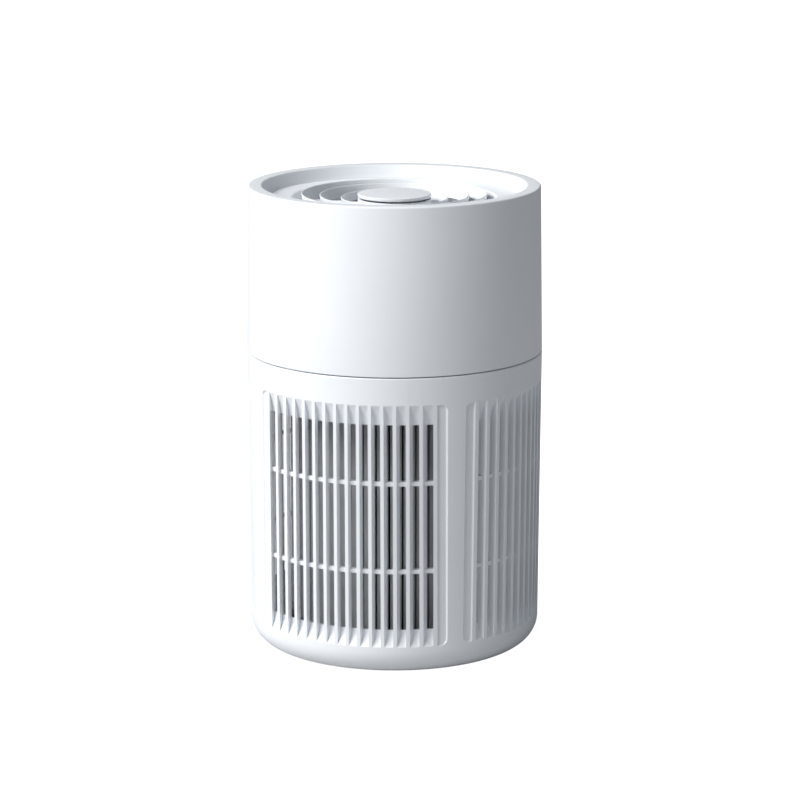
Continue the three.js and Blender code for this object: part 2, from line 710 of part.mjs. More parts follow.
function controlButton() {
  const disc = turned([
    [0, buttonBase],
    [HUB_RADIUS - BUTTON_EDGE / 2, buttonBase],
    ...arc(HUB_RADIUS - BUTTON_EDGE, buttonTop - BUTTON_EDGE, BUTTON_EDGE, 0, 90, 3),
    [HUB_RADIUS / 2, buttonTop + BUTTON_DOME * 0.75],
    [0, buttonTop + BUTTON_DOME],
  ], FINE);
  const post = bar(STEM_RADIUS, plungerTop + FIT, buttonBase + 0.5, TINY);
  const inside = hookCircle - HOOK_THICKNESS / 2;
  const outside = hookCircle + HOOK_THICKNESS / 2;
  const hookFoot = [inside, -HOOK_WIDTH / 2, webBase - 1.5];
  const leg = block(hookFoot, [outside, HOOK_WIDTH / 2, buttonBase + 0.5]);
  const barb = block(hookFoot, [outside + HOOK_REACH, HOOK_WIDTH / 2, webBase - FIT]);
  const hooks = hookAngles.flatMap((angle) => [spun(leg, angle), spun(barb, angle)]);
  return joined(disc, [post, ...hooks]);
}

function tactSwitch() {
  const half = SWITCH_SIZE / 2;
  const body = solid(block([-half, -half, switchBase], [half, half, switchTop]));
  return cut(body, [bar(PLUNGER_RADIUS + FIT, switchTop - SWITCH_WELL, switchTop + 1, TINY)]);
}

function controlBoard() {
  const disc = solid(bar(HUB_RADIUS - HUB_WALL - FIT, boardTop - BOARD_THICKNESS, boardTop, COARSE));
  const hole = bar(SMALL_SHANK + FIT, boardTop - 3, boardTop + 1, TINY).translate(boardScrewCircle, 0, 0);
  return cut(disc, pattern(2).map((angle) => spun(hole, angle)));
}

const plungerBase = plungerTop - PLUNGER_HEIGHT + BUTTON_TRAVEL;

piece(purifier, 'outlet_deck', outletDeck(), 'white');
piece(purifier, 'outlet_grille', outletGrille(), 'white');
piece(purifier, 'control_button', controlButton(), 'white');
piece(purifier, 'switch_plunger', bar(PLUNGER_RADIUS, plungerBase, plungerTop, TINY), 'black');
piece(purifier, 'tact_switch', tactSwitch(), 'steel');
piece(purifier, 'control_board', controlBoard(), 'board');
pattern(2).forEach((angle, i) => {
  const mesh = piece(purifier, `control_screw_${i + 1}`, screw(SMALL_SHANK, SMALL_HEAD, 4.6), 'zinc');
  mesh.position.set(
    boardScrewCircle * Math.cos(radians(angle)),
    boardScrewCircle * Math.sin(radians(angle)),
    boardTop - BOARD_THICKNESS - FIT,
  );
});

// ---------------------------------------------------------------- fan

const ductScrewRadius = ductOuter + DUCT_FLANGE / 2;
const ductScrewAngles = pattern(3, 30);
const taperBase = impellerTop;

function fanDuct() {
  const taperTop = taperBase + DUCT_TAPER_HEIGHT;
  const wall = turned([
    [ductInner, bossBase],
    [ductOuter + DUCT_FLANGE, bossBase],
    [ductOuter + DUCT_FLANGE, bossBase + DUCT_FLANGE_THICKNESS],
    [ductOuter, bossBase + DUCT_FLANGE_THICKNESS],
    [ductOuter, taperBase],
    [ductTopOuter, taperTop],
    [ductTopOuter, ductTop],
    [ductTopInner, ductTop],
    [ductTopInner, taperTop],
    [ductInner, taperBase],
  ], COARSE);
  const cup = turned([
    [SHAFT_RADIUS + 2, cupFloor],
    [cupOuter, cupFloor],
    [cupOuter, cupTop],
    [cupInner, cupTop],
    [cupInner, cupFloorTop],
    [SHAFT_RADIUS + 2, cupFloorTop],
  ], COARSE);
  const vane = block(
    [cupOuter - CUP_WALL / 2, -VANE_THICKNESS / 2, vaneTop - VANE_HEIGHT],
    [ductTopInner + DUCT_WALL / 2, VANE_THICKNESS / 2, vaneTop],
  );
  const vanes = pattern(VANE_COUNT, 90).map((angle) => spun(vane, angle));
  const motorHole = bar(SMALL_SHANK + FIT, cupFloor - 1, cupFloorTop + 1, TINY)
    .translate(MOTOR_SCREW_CIRCLE, 0, 0);
  const flangeHole = bar(SCREW_SHANK + FIT, bossBase - 1, bossBase + DUCT_FLANGE_THICKNESS + 1, TINY)
    .translate(ductScrewRadius, 0, 0);
  const leadHole = alongY(bar(LEAD_RADIUS + FIT, cupInner - 1, ductTopOuter + 1, TINY))
    .translate(0, 0, leadZ);
  return cut(joined(wall, [cup, ...vanes]), [
    ...pattern(3, 90).map((angle) => spun(motorHole, angle)),
    ...ductScrewAngles.map((angle) => spun(flangeHole, angle)),
    leadHole,
  ]);
}

function inletPlate() {
  const outer = lowerInner - FIT;
  const plate = turned([
    [mouthRadius, plateZ],
    [outer, plateZ],
    [outer, plateTop],
    [mouthRadius + THROAT_WALL, plateTop],
    [throatRadius + THROAT_WALL, plateTop + THROAT_HEIGHT / 2],
    [throatRadius + THROAT_WALL, throatTop],
    [throatRadius, throatTop],
    [throatRadius, plateTop + THROAT_HEIGHT / 2],
    [throatRadius + MOUTH_FLARE * 0.35, plateTop],
  ], COARSE);
  const guardTop = plateZ + GUARD_HEIGHT;
  const guardRings = [1, 2].map((step) => {
    const radius = mouthRadius * step / 3;
    return ring(radius - GUARD_WIDTH / 2, radius + GUARD_WIDTH / 2, plateZ, guardTop, SMALL);
  });
  const spoke = block(
    [mouthRadius / 3, -GUARD_WIDTH / 2, plateZ],
    [mouthRadius + 1, GUARD_WIDTH / 2, guardTop],
  );
  const spokes = pattern(GUARD_SPOKES).map((angle) => spun(spoke, angle));
  const screwHole = bar(SCREW_SHANK + FIT, plateZ - 1, plateTop + 1, TINY);
  const casingHole = screwHole.clone().translate(ledgeScrewRadius, 0, 0);
  const ductHole = screwHole.clone().translate(ductScrewRadius, 0, 0);
  return cut(joined(plate, [...guardRings, ...spokes]), [
    ...pattern(4, 45).map((angle) => spun(casingHole, angle)),
    ...ductScrewAngles.map((angle) => spun(ductHole, angle)),
  ]);
}

// One backward-curved blade, its root near the shaft and its tip at the impeller's edge.
function bladeOutline() {
  const steps = 5;
  const root = throatRadius * BLADE_ROOT;
  const side = (offset) => Array.from({ length: steps + 1 }, (_, i) => {
    const share = i / steps;
    const radius = root + (impellerRadius - 0.2 - root) * share;
    const angle = radians(-BLADE_SWEEP * share * share) + offset / radius;
    return [radius * Math.cos(angle), radius * Math.sin(angle)];
  });
  return [...side(-BLADE_THICKNESS / 2), ...side(BLADE_THICKNESS / 2).reverse()];
}

const impellerHubBase = impellerBase + HUB_NOSE;

function impeller() {
  const bore = SHAFT_RADIUS + FIT;
  const hubRadius = bore + HUB_NOSE_WALL;
  const plateBase = impellerTop - IMPELLER_PLATE;
  const backPlate = turned([
    [bore, impellerHubBase],
    [hubRadius, impellerHubBase],
    [hubRadius, plateBase - 3],
    [hubRadius + 4, plateBase],
    [impellerRadius, plateBase],
    [impellerRadius, impellerTop],
    [bore, impellerTop],
  ], COARSE);
  const shroudTop = impellerBase + IMPELLER_PLATE;
  const shroud = ring(throatRadius + 1, impellerRadius, impellerBase, shroudTop, COARSE);
  const blade = raised(bladeOutline(), impellerBase + 0.4, plateBase + 0.4);
  const blades = pattern(BLADE_COUNT).map((angle) => spun(blade, angle));
  return joined(backPlate, [...blades, shroud]);
}

const nutTop = impellerHubBase - FIT;
const nutBase = nutTop - NUT_HEIGHT;

piece(purifier, 'fan_duct', fanDuct(), 'fan');
piece(purifier, 'inlet_plate', inletPlate(), 'fan');
piece(purifier, 'impeller', impeller(), 'fan');
piece(purifier, 'impeller_nut', ring(SHAFT_RADIUS + FIT, NUT_RADIUS, nutBase, nutTop, 6), 'zinc');
ductScrewAngles.forEach((angle, i) => {
  const mesh = piece(purifier, `duct_screw_${i + 1}`, screw(SCREW_SHANK, SCREW_HEAD, 6.5), 'zinc');
  mesh.position.set(
    ductScrewRadius * Math.cos(radians(angle)),
    ductScrewRadius * Math.sin(radians(angle)),
    plateZ - FIT,
  );
});

// ---------------------------------------------------------------- motor

const motor = section(motorZ);
const bearingSeat = SEAT_FLOOR;
const bearingHole = BEARING_RADIUS + FIT;

function motorCase() {
  const shell = turned([
    [SHAFT_RADIUS + 1, 0],
    [MOTOR_RADIUS, 0],
    [MOTOR_RADIUS, MOTOR_HEIGHT],
    [MOTOR_RADIUS - MOTOR_WALL, MOTOR_HEIGHT],
    [MOTOR_RADIUS - MOTOR_WALL, MOTOR_FLOOR],
    [bearingHole + SEAT_RING, MOTOR_FLOOR],
    [bearingHole + SEAT_RING, bearingSeat + BEARING_WIDTH],
    [bearingHole, bearingSeat + BEARING_WIDTH],
    [bearingHole, bearingSeat - FIT],
    [SHAFT_RADIUS + 1, bearingSeat - FIT],
  ], SMALL);
  const hole = bar(SMALL_SHANK + FIT, -1, MOTOR_FLOOR + 1, TINY).translate(MOTOR_SCREW_CIRCLE, 0, 0);
  return cut(solid(shell), pattern(3, 90).map((angle) => spun(hole, angle)));
}

const capBase = MOTOR_HEIGHT + FIT;
const upperBearing = capBase - 2.3;

function motorCap() {
  const seatTop = upperBearing + BEARING_WIDTH + FIT;
  return turned([
    [SHAFT_RADIUS + 1, seatTop],
    [bearingHole, seatTop],
    [bearingHole, upperBearing],
    [bearingHole + SEAT_RING, upperBearing],
    [bearingHole + SEAT_RING, capBase],
    [MOTOR_RADIUS, capBase],
    [MOTOR_RADIUS, capBase + CAP_THICKNESS],
    [SHAFT_RADIUS + 1, capBase + CAP_THICKNESS],
  ], SMALL);
}

const coreBase = bearingSeat + BEARING_WIDTH + CORE_GAP;
const coreTop = upperBearing - CORE_GAP;
const coreInner = MAGNET_RADIUS + AIR_GAP;
const coreOuter = MOTOR_RADIUS - MOTOR_WALL - FIT;
const shaftBase = nutBase - SHAFT_PROUD - motorZ;
const magnetBase = coreBase + MAGNET_INSET;
const magnetTop = coreTop - MAGNET_INSET;
const shaftTop = upperBearing + BEARING_WIDTH;
const boreRadius = SHAFT_RADIUS + FIT;
const bearing = (seat) => ring(boreRadius, BEARING_RADIUS, seat, seat + BEARING_WIDTH, SMALL);
const sleeveInner = MOTOR_RADIUS + FIT;
const sleeveTop = MOTOR_HEIGHT - SLEEVE_DROP;

piece(motor, 'motor_case', motorCase(), 'steel');
piece(motor, 'motor_cap', motorCap(), 'steel');
piece(motor, 'motor_stator', ring(coreInner, coreOuter, coreBase, coreTop, SMALL), 'iron');
piece(motor, 'rotor_magnet', ring(boreRadius, MAGNET_RADIUS, magnetBase, magnetTop, SMALL), 'magnet');
piece(motor, 'motor_shaft', bar(SHAFT_RADIUS, shaftBase, shaftTop, TINY), 'steel');
piece(motor, 'lower_bearing', bearing(bearingSeat), 'steel');
piece(motor, 'upper_bearing', bearing(upperBearing), 'steel');
piece(motor, 'motor_sleeve', ring(sleeveInner, cupInner - FIT, SLEEVE_LIFT, sleeveTop, COARSE), 'rubber');
pattern(3, 90).forEach((angle, i) => {
  const length = 2 * FIT + CUP_WALL + MOTOR_FLOOR - 0.3;
  const mesh = piece(motor, `motor_screw_${i + 1}`, screw(SMALL_SHANK, SMALL_HEAD, length), 'zinc');
  mesh.position.set(
    MOTOR_SCREW_CIRCLE * Math.cos(radians(angle)),
    MOTOR_SCREW_CIRCLE * Math.sin(radians(angle)),
    cupFloor - FIT - motorZ,
  );
});

// ---------------------------------------------------------------- electronics

function mainBoard() {
  const halfWidth = BOARD_SIZE[0] / 2;
  const board = block(
    [-halfWidth, boardY, boardZ],
    [halfWidth, boardY + BOARD_THICKNESS, boardZ + BOARD_SIZE[1]],
  );
  const front = boardY + BOARD_THICKNESS - 0.2;
  const chip = block([-15, front, boardZ + 4], [-8, front + 1.6, boardZ + 11]);
  const connector = block([-4, front, boardZ + 22], [4, front + 4, boardZ + 27]);
  const capacitor = alongY(bar(4, front, front + 5, TINY)).translate(13, 0, boardZ + 8);
  const holes = [-1, 1].map((side) => (
    alongY(bar(SMALL_SHANK + FIT, boardY - 1, boardY + 2 * BOARD_THICKNESS, TINY))
      .translate(side * boardScrewX, 0, boardScrewZ)
  ));
  return cut(joined(board, [chip, connector, capacitor]), holes);
}

function powerSocket() {
  const [width, depth, height] = SOCKET_SIZE;
  const body = block(
    [-width / 2, socketY, socketZ - height / 2],
    [width / 2, Math.min(socketY + depth, upperInner - 2), socketZ + height / 2],
  );
  const face = SEAM_RADIUS - RIM_TAPER / 2;
  const barrel = alongY(bar(SOCKET_RADIUS, socketY + 1, face, SMALL)).translate(0, 0, socketZ);
  const bore = alongY(bar(SOCKET_BORE, socketY + 2, face + 1, SMALL)).translate(0, 0, socketZ);
  const pin = alongY(bar(SOCKET_PIN, socketY + 1, face - 1.5, TINY)).translate(0, 0, socketZ);
  return cut(joined(body, [barrel]), [bore]).add(solid(pin));
}

function motorLead() {
  const boardTopZ = boardZ + BOARD_SIZE[1] + 1;
  const leadY = boardY + BOARD_THICKNESS + 2;
  const path = new THREE.CatmullRomCurve3([
    new THREE.Vector3(0, MOTOR_RADIUS + FIT + 0.2, leadZ),
    new THREE.Vector3(0, ductTopInner - 4, leadZ),
    new THREE.Vector3(0, ductTopOuter, leadZ),
    new THREE.Vector3(0, ductTopOuter + 4, leadZ),
    new THREE.Vector3(0, leadY - 3, leadZ - 5),
    new THREE.Vector3(0, leadY, leadZ - 14),
    new THREE.Vector3(0, leadY, boardTopZ),
  ], false, 'centripetal');
  const round = arc(0, 0, LEAD_RADIUS, 0, 315, 7);
  const outline = new THREE.Shape(round.map(([x, y]) => new THREE.Vector2(x, y)));
  return new THREE.ExtrudeGeometry(outline, { steps: 24, bevelEnabled: false, extrudePath: path });
}

piece(purifier, 'main_board', mainBoard(), 'board');
piece(purifier, 'power_socket', powerSocket(), 'black');
piece(purifier, 'motor_lead', motorLead(), 'black');
[-1, 1].forEach((side, i) => {
  const mesh = piece(purifier, `board_screw_${i + 1}`, alongY(screw(SMALL_SHANK, SMALL_HEAD, 6)), 'zinc');
  mesh.position.set(side * boardScrewX, boardY - FIT, boardScrewZ);
});

// ---------------------------------------------------------------- filter

const filter = section(filterZ);
const mediaBase = FILTER_CAP + FIT;
const topCapTop = filterTop - filterZ - GASKET_THICKNESS - FIT;
const topCapBase = topCapTop - FILTER_CAP;
const mediaTop = topCapBase - FIT;
const gasketInner = mouthRadius + 2;

piece(filter, 'filter_base_cap', bar(capRadius, 0, FILTER_CAP, COARSE), 'black');
piece(filter, 'filter_media', ring(mediaBore, mediaRadius, mediaBase, mediaTop, COARSE), 'media');
piece(filter, 'filter_net', ring(mediaRadius + FIT, filterRadius, mediaBase, mediaTop, COARSE), 'media');
piece(filter, 'carbon_layer', ring(filterBore, mediaBore - FIT, mediaBase, mediaTop, COARSE), 'carbon');
piece(filter, 'filter_top_cap', ring(filterBore, capRadius, topCapBase, topCapTop, COARSE), 'black');
piece(filter, 'filter_gasket', ring(
  gasketInner,
  gasketInner + GASKET_WIDTH,
  topCapTop + FIT,
  filterTop - filterZ,
  COARSE,
), 'foam');

// ---------------------------------------------------------------- base cover

function baseCover() {
  const base = baseZ;
  const top = base + COVER_THICKNESS;
  const seatOuter = coverRadius - COVER_MARGIN - 1.5;
  const gripTop = base + GRIP_DEPTH;
  const shell = turned([
    [0, gripTop],
    [GRIP_RADIUS, gripTop],
    [GRIP_RADIUS, base],
    [coverRadius, base],
    [coverRadius, top],
    [seatOuter, top],
    [seatOuter, base + SEAT_HEIGHT],
    [seatOuter - SEAT_WALL, base + SEAT_HEIGHT],
    [seatOuter - SEAT_WALL, top],
    [GRIP_RADIUS + 2, top],
    [GRIP_RADIUS + 2, gripTop + 2],
    [0, gripTop + 2],
  ], COARSE);
  const lugBase = baseZ + FLOOR + FIT;
  const lugTop = lugBase + LUG_THICKNESS;
  const lugOuter = coverRadius + LUG_REACH;
  const lugs = pattern(LUG_COUNT, 45).map((angle) => (
    raised(sector(seatOuter - 1, lugOuter, angle, LUG_SPAN, 3), lugBase, lugTop)
  ));
  const gripBar = block(
    [-GRIP_RADIUS - 1, -GRIP_BAR / 2, base],
    [GRIP_RADIUS + 1, GRIP_BAR / 2, gripTop + 1],
  );
  return joined(shell, [gripBar, ...lugs]);
}

piece(purifier, 'base_cover', baseCover(), 'white');

export default purifier;
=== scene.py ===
"""Desktop air purifier: the looks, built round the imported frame."""
import math

import bpy
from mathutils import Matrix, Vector


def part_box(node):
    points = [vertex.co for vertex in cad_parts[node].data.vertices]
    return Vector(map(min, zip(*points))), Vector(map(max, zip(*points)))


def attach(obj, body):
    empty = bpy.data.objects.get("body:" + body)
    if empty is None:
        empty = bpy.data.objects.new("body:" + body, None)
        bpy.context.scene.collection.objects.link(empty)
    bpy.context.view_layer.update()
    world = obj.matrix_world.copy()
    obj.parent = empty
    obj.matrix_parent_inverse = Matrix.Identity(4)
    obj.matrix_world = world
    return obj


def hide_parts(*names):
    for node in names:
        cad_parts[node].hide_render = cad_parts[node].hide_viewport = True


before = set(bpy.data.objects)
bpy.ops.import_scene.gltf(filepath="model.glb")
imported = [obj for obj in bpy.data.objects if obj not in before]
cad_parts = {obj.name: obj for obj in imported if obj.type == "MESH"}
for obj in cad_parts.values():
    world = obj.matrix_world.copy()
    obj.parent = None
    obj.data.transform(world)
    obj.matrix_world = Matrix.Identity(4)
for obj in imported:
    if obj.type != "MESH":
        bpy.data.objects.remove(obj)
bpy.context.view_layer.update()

MM = 0.001
DOUBLED = 0.002 * MM  # points nearer than this are merged

# ---- sizes, in millimetres


def box_mm(node):
    """The lowest and highest corner of a CAD node, in millimetres."""
    low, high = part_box(node)
    return low / MM, high / MM


lower_low, lower_high = box_mm("lower_casing")
upper_low, upper_high = box_mm("upper_casing")
deck_high = box_mm("outlet_deck")[1]
grille_low = box_mm("outlet_grille")[0]
button_low, button_high = box_mm("control_button")
cover_high = box_mm("base_cover")[1]
media_low, media_high = box_mm("filter_media")
net_low, net_high = box_mm("filter_net")
foot_low, foot_high = box_mm("foot_1")

# Casings
SEAM_GAP = 0.7
SEAM_RADIUS = upper_high.x
BASE_Z = lower_low.z
SEAM_Z = upper_low.z - SEAM_GAP
UPPER_Z = upper_low.z
RIM_Z = upper_high.z
RIM_RADIUS = SEAM_RADIUS - 1.4
BASE_RADIUS = SEAM_RADIUS - 1.2
UPPER_WALL = 2.5
LOWER_WALL = 4.0
FLOOR = 3.0
FOOT_FILLET = 14.5

# Windows. Depths count inwards from the casing's surface.
WINDOWS = 4
EDGE = 0.16  # rounding of every window's rims
EDGE_SHARE = 0.3  # the point between a rim's ends, as a share of its depth and of its flare
LIP_SHARE = 0.35  # the same at the ends of a scoop
OUTSIDE = -3.0  # where every window cutter starts
PILLAR = 13.0
WINDOW_TOP = SEAM_Z - 15.4
WINDOW_BASE = BASE_Z + 17.0
OPEN_TOP = WINDOW_TOP - 11.4
OPEN_BASE = WINDOW_BASE + 9.2
HALF_WINDOW = SEAM_RADIUS * math.sin(math.pi / WINDOWS - math.asin(PILLAR / 2 / SEAM_RADIUS))
SLOTS = 15
SLAT = 2.0
PITCH = 6.61
SLOT = PITCH - SLAT
FIELD = SLOTS * PITCH + SLAT
SLAT_DEPTH = 4.6
CHANNEL_DEPTH = 1.2
CHANNEL_END = 1.2
CHANNEL_SLANT = 1.2
CHANNEL_ROUND = 3.5
CORNER_REST = 0.4  # what a corner of the channel keeps of its width
ROUND_STEPS = 6
RAMP_STEPS = 9
RAMP_POWER = 1.6
RIB_SETBACK = 2.4
RIB_HEIGHT = 2.8
RIB_SLOPE = 0.5
RIB_LIP = 0.2
RIB_FOOT_LIP = 0.15
RIB_STATIONS = (0.719, 0.29)  # shares of the open height

# Outlet
BOWL_RADIUS = RIM_RADIUS - 7.8
DECK_Z = deck_high.z
DECK_RADIUS = deck_high.x + 0.3
DECK_WIDTH = 12.4
DECK_ROLL = 2.3
OUTLET_RADIUS = DECK_RADIUS - DECK_WIDTH - DECK_ROLL
HUB_RADIUS = button_high.x
RINGS = ((0.27, 7.4), (0.606, 5.9), (0.896, 4.95))  # share of the way from hub to outlet, drop below the rim
RING_FOOT_Z = RIM_Z - 12.0
RING_SLOPE = 0.16  # run per rise
RING_TOP = 0.8  # wall at the top
RING_FOOT = 1.4
SPOKE_DEPTH = 5.0

# Base cover and filter
COVER_EDGE = media_high.x + 3.2
LUGS = 4
LUG_ANGLE = 45
LUG_SPAN = 16
LUG_REACH = COVER_EDGE + 3.2
NOTCH_ANGLE = 25
NOTCH_SPAN = 19
NOTCH_REACH = COVER_EDGE + 3.8
MEDIA_RADIUS = media_high.x
MEDIA_BORE = MEDIA_RADIUS - 18.2

# Steps round a turned piece
FINE = 256
MEDIUM = 128
COARSE = 48


# ---- drawing and turning


def deselect():
    """Leaves nothing selected."""
    bpy.ops.object.select_all(action="DESELECT")


def activate(piece):
    """Makes one piece the only one selected."""
    deselect()
    piece.select_set(True)
    bpy.context.view_layer.objects.active = piece


def name_piece(name):
    """Names the active piece and its mesh."""
    piece = bpy.context.active_object
    piece.name = name
    piece.data.name = name
    return piece


def draw(points):
    """Draws a chain of edges through 3-D points, and stays in edit mode with its end selected."""
    deselect()
    bpy.ops.mesh.primitive_plane_add(size=MM)
    bpy.ops.object.mode_set(mode="EDIT")
    bpy.ops.mesh.select_mode(type="VERT")
    bpy.ops.mesh.select_all(action="SELECT")
    bpy.ops.mesh.merge(type="CENTER")
    bpy.ops.transform.translate(value=Vector(points[0]) * MM)
    for last, new in zip(points, points[1:]):
        step = (Vector(new) - Vector(last)) * MM
        bpy.ops.mesh.extrude_region_move(TRANSFORM_OT_translate={"value": step})


def tidy_mesh():
    """Merges doubled points and turns all faces outwards, then leaves edit mode."""
    bpy.ops.mesh.select_all(action="SELECT")
    bpy.ops.mesh.remove_doubles(threshold=DOUBLED)
    bpy.ops.mesh.normals_make_consistent(inside=False)
    bpy.ops.object.mode_set(mode="OBJECT")


def rounded(corners, steps=5):
    """A closed profile. A corner is (radius, height) or (radius, height, fillet)."""
    points = []
    count = len(corners)
    for i, corner in enumerate(corners):
        here = Vector(corner[:2])
        fillet = corner[2] if len(corner) > 2 else 0
        if not fillet:
            points.append(here)
            continue
        back = Vector(corners[i - 1][:2]) - here
        ahead = Vector(corners[(i + 1) % count][:2]) - here
        half = back.angle(ahead) / 2
        reach = min(fillet / math.tan(half), 0.49 * back.length, 0.49 * ahead.length)
        radius = reach * math.tan(half)
        start = here + back.normalized() * reach
        end = here + ahead.normalized() * reach
        centre = here + (back.normalized() + ahead.normalized()).normalized() * radius / math.sin(half)
        sweep = (start - centre).angle_signed(end - centre)
        for step in range(steps + 1):
            angle = -sweep * step / steps
            arm = start - centre
            points.append(centre + Vector((
                arm.x * math.cos(angle) - arm.y * math.sin(angle),
                arm.x * math.sin(angle) + arm.y * math.cos(angle),
            )))
    return [(p.x, p.y) for p in points]


def turned(name, profile, segments=MEDIUM, closed=True, smooth=30):
    """Spins a profile of (radius, height) round the upright axis."""
    points = [(r, 0, z) for r, z in profile]
    if closed:
        points.append(points[0])
    draw(points)
    bpy.ops.mesh.select_all(action="SELECT")
    bpy.ops.mesh.spin(steps=segments, angle=2 * math.pi, center=(0, 0, 0), axis=(0, 0, 1))
    tidy_mesh()
    piece = name_piece(name)
    soften(piece, smooth)
    return piece


def square_ring(name, inner, outer, low, high, fillets, steps=3, segments=MEDIUM):
    """A ring of four-cornered section. The fillets go inner low, outer low, outer high, inner high."""
    corners = zip((inner, outer, outer, inner), (low, low, high, high), fillets)
    return turned(name, rounded(list(corners), steps), segments)


def soften(piece, degrees=30):
    """Smooth shading, with edges sharper than the angle left crisp."""
    activate(piece)
    bpy.ops.object.shade_smooth_by_angle(angle=math.radians(degrees))


def copy_of(piece, turn=0.0):
    """A copy with its own mesh, turned round the upright axis in degrees."""
    activate(piece)
    bpy.ops.object.duplicate()
    twin = bpy.context.active_object
    if turn:
        twin.rotation_euler.z = math.radians(turn)
        bpy.ops.object.transform_apply(location=False, rotation=True, scale=False)
    return twin


def join(pieces, name):
    """Joins pieces into the first of them."""
    deselect()
    for piece in pieces:
        piece.select_set(True)
    bpy.context.view_layer.objects.active = pieces[0]
    bpy.ops.object.join()
    return name_piece(name)


def carve(piece, tool, operation="DIFFERENCE"):
    """Cuts a tool out of a piece, or unites them, and removes the tool."""
    cut = piece.modifiers.new("carve", "BOOLEAN")
    cut.operation = operation
    cut.solver = "EXACT"
    cut.object = tool
    activate(piece)
    bpy.ops.object.modifier_apply(modifier=cut.name)
    bpy.data.objects.remove(tool)


def block(name, low, high, bevel=0.0):
    """A box between two corners, with its edges bevelled."""
    deselect()
    low, high = Vector(low) * MM, Vector(high) * MM
    bpy.ops.mesh.primitive_cube_add(size=1, location=(low + high) / 2, scale=high - low)
    bpy.ops.object.transform_apply(location=True, rotation=False, scale=True)
    if bevel:
        bpy.ops.object.mode_set(mode="EDIT")
        bpy.ops.mesh.select_all(action="SELECT")
        bpy.ops.mesh.bevel(offset=bevel * MM, segments=2, affect="EDGES")
        bpy.ops.object.mode_set(mode="OBJECT")
    return name_piece(name)


def arc_points(x, z, radius, start, end, steps):
    """Points along an arc of a profile, angles in degrees."""
    angles = [math.radians(start + (end - start) * i / steps) for i in range(steps + 1)]
    return [(x + radius * math.cos(a), z + radius * math.sin(a)) for a in angles]


def prism(name, outline, low, high, bevel=0.0):
    """An outline in X and Y raised from one height to another."""
    loop = [(x, y, low) for x, y in outline]
    draw(loop + loop[:1])
    bpy.ops.mesh.select_all(action="SELECT")
    bpy.ops.mesh.remove_doubles(threshold=DOUBLED)
    bpy.ops.mesh.edge_face_add()
    bpy.ops.mesh.extrude_region_move(TRANSFORM_OT_translate={"value": (0, 0, (high - low) * MM)})
    tidy_mesh()
    piece = name_piece(name)
    if bevel:
        bevel_sharp(piece, bevel)
    return piece


def bevel_sharp(piece, width):
    """Rounds every sharp edge."""
    edge = piece.modifiers.new("edges", "BEVEL")
    edge.width = width * MM
    edge.segments = 2
    edge.limit_method = "ANGLE"
    edge.angle_limit = math.radians(35)
    activate(piece)
    bpy.ops.object.modifier_apply(modifier=edge.name)


def sector(inner, outer, middle, span, steps=8):
    """The outline of a piece of a ring, angles in degrees."""
    angles = [math.radians(middle - span / 2 + span * i / steps) for i in range(steps + 1)]
    far = [(outer * math.cos(a), outer * math.sin(a)) for a in angles]
    near = [(inner * math.cos(a), inner * math.sin(a)) for a in reversed(angles)]
    return far + near


def around(piece, count, start=0.0):
    """Copies of a piece evenly round the axis. The piece itself is used up."""
    copies = [copy_of(piece, start + 360 * i / count) for i in range(count)]
    bpy.data.objects.remove(piece)
    return copies


def move(piece, x=0.0, y=0.0, z=0.0):
    """Moves a piece's mesh, in millimetres."""
    activate(piece)
    bpy.ops.object.mode_set(mode="EDIT")
    bpy.ops.mesh.select_all(action="SELECT")
    bpy.ops.transform.translate(value=(x * MM, y * MM, z * MM))
    bpy.ops.object.mode_set(mode="OBJECT")
    return piece


def tip(piece, degrees):
    """Turns a piece round the X axis."""
    activate(piece)
    piece.rotation_euler.x = math.radians(degrees)
    bpy.ops.object.transform_apply(location=False, rotation=True, scale=False)
    return piece


def place(piece, body, slot, *nodes):
    """Says what a finished piece stands for, what it moves with and what finish it has."""
    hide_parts(*nodes)
    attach(piece, body)
    piece.data.materials.clear()
    piece.data.materials.append(FINISHES[slot])


# ---- lower casing


def casing_radius(z):
    """The lower casing's outer radius at a height."""
    return BASE_RADIUS + (SEAM_RADIUS - BASE_RADIUS) * (z - BASE_Z) / (SEAM_Z - BASE_Z)


def lower_shell():
    """The plain round shell, its wall deeper where the slats are."""
    centre_x, centre_z = BASE_RADIUS - FOOT_FILLET, BASE_Z + FOOT_FILLET
    cover_hole = COVER_EDGE + 0.3
    deep_top, deep_base = OPEN_TOP + 1, OPEN_BASE - 1
    inside = SEAM_RADIUS - LOWER_WALL
    spigot, ledge = inside + 1.2, inside - 7
    ledge_top, ledge_base = SEAM_Z - 1.5, SEAM_Z - 4.5
    profile = [
        (cover_hole, BASE_Z + 0.3),
        (cover_hole + 0.3, BASE_Z),
        *arc_points(centre_x, centre_z, FOOT_FILLET, -90, 0, 16),
        (SEAM_RADIUS, SEAM_Z - 0.55),
        (SEAM_RADIUS - 0.15, SEAM_Z - 0.18),
        (SEAM_RADIUS - 0.5, SEAM_Z),
        (spigot, SEAM_Z),
        (spigot, lower_high.z),
        (inside, lower_high.z),
        (inside, ledge_top),
        (ledge, ledge_top),
        (ledge, ledge_base),
        (inside, ledge_base),
        (casing_radius(deep_top) - LOWER_WALL, deep_top),
        (casing_radius(deep_top) - SLAT_DEPTH, deep_top),
        (casing_radius(deep_base) - SLAT_DEPTH, deep_base),
        (casing_radius(deep_base) - LOWER_WALL, deep_base),
        *arc_points(centre_x, centre_z, FOOT_FILLET - LOWER_WALL, 0, -84, 8),
        (centre_x, BASE_Z + FLOOR),
        (cover_hole, BASE_Z + FLOOR),
    ]
    return turned("lower_shell", profile, 2 * FINE, smooth=25)


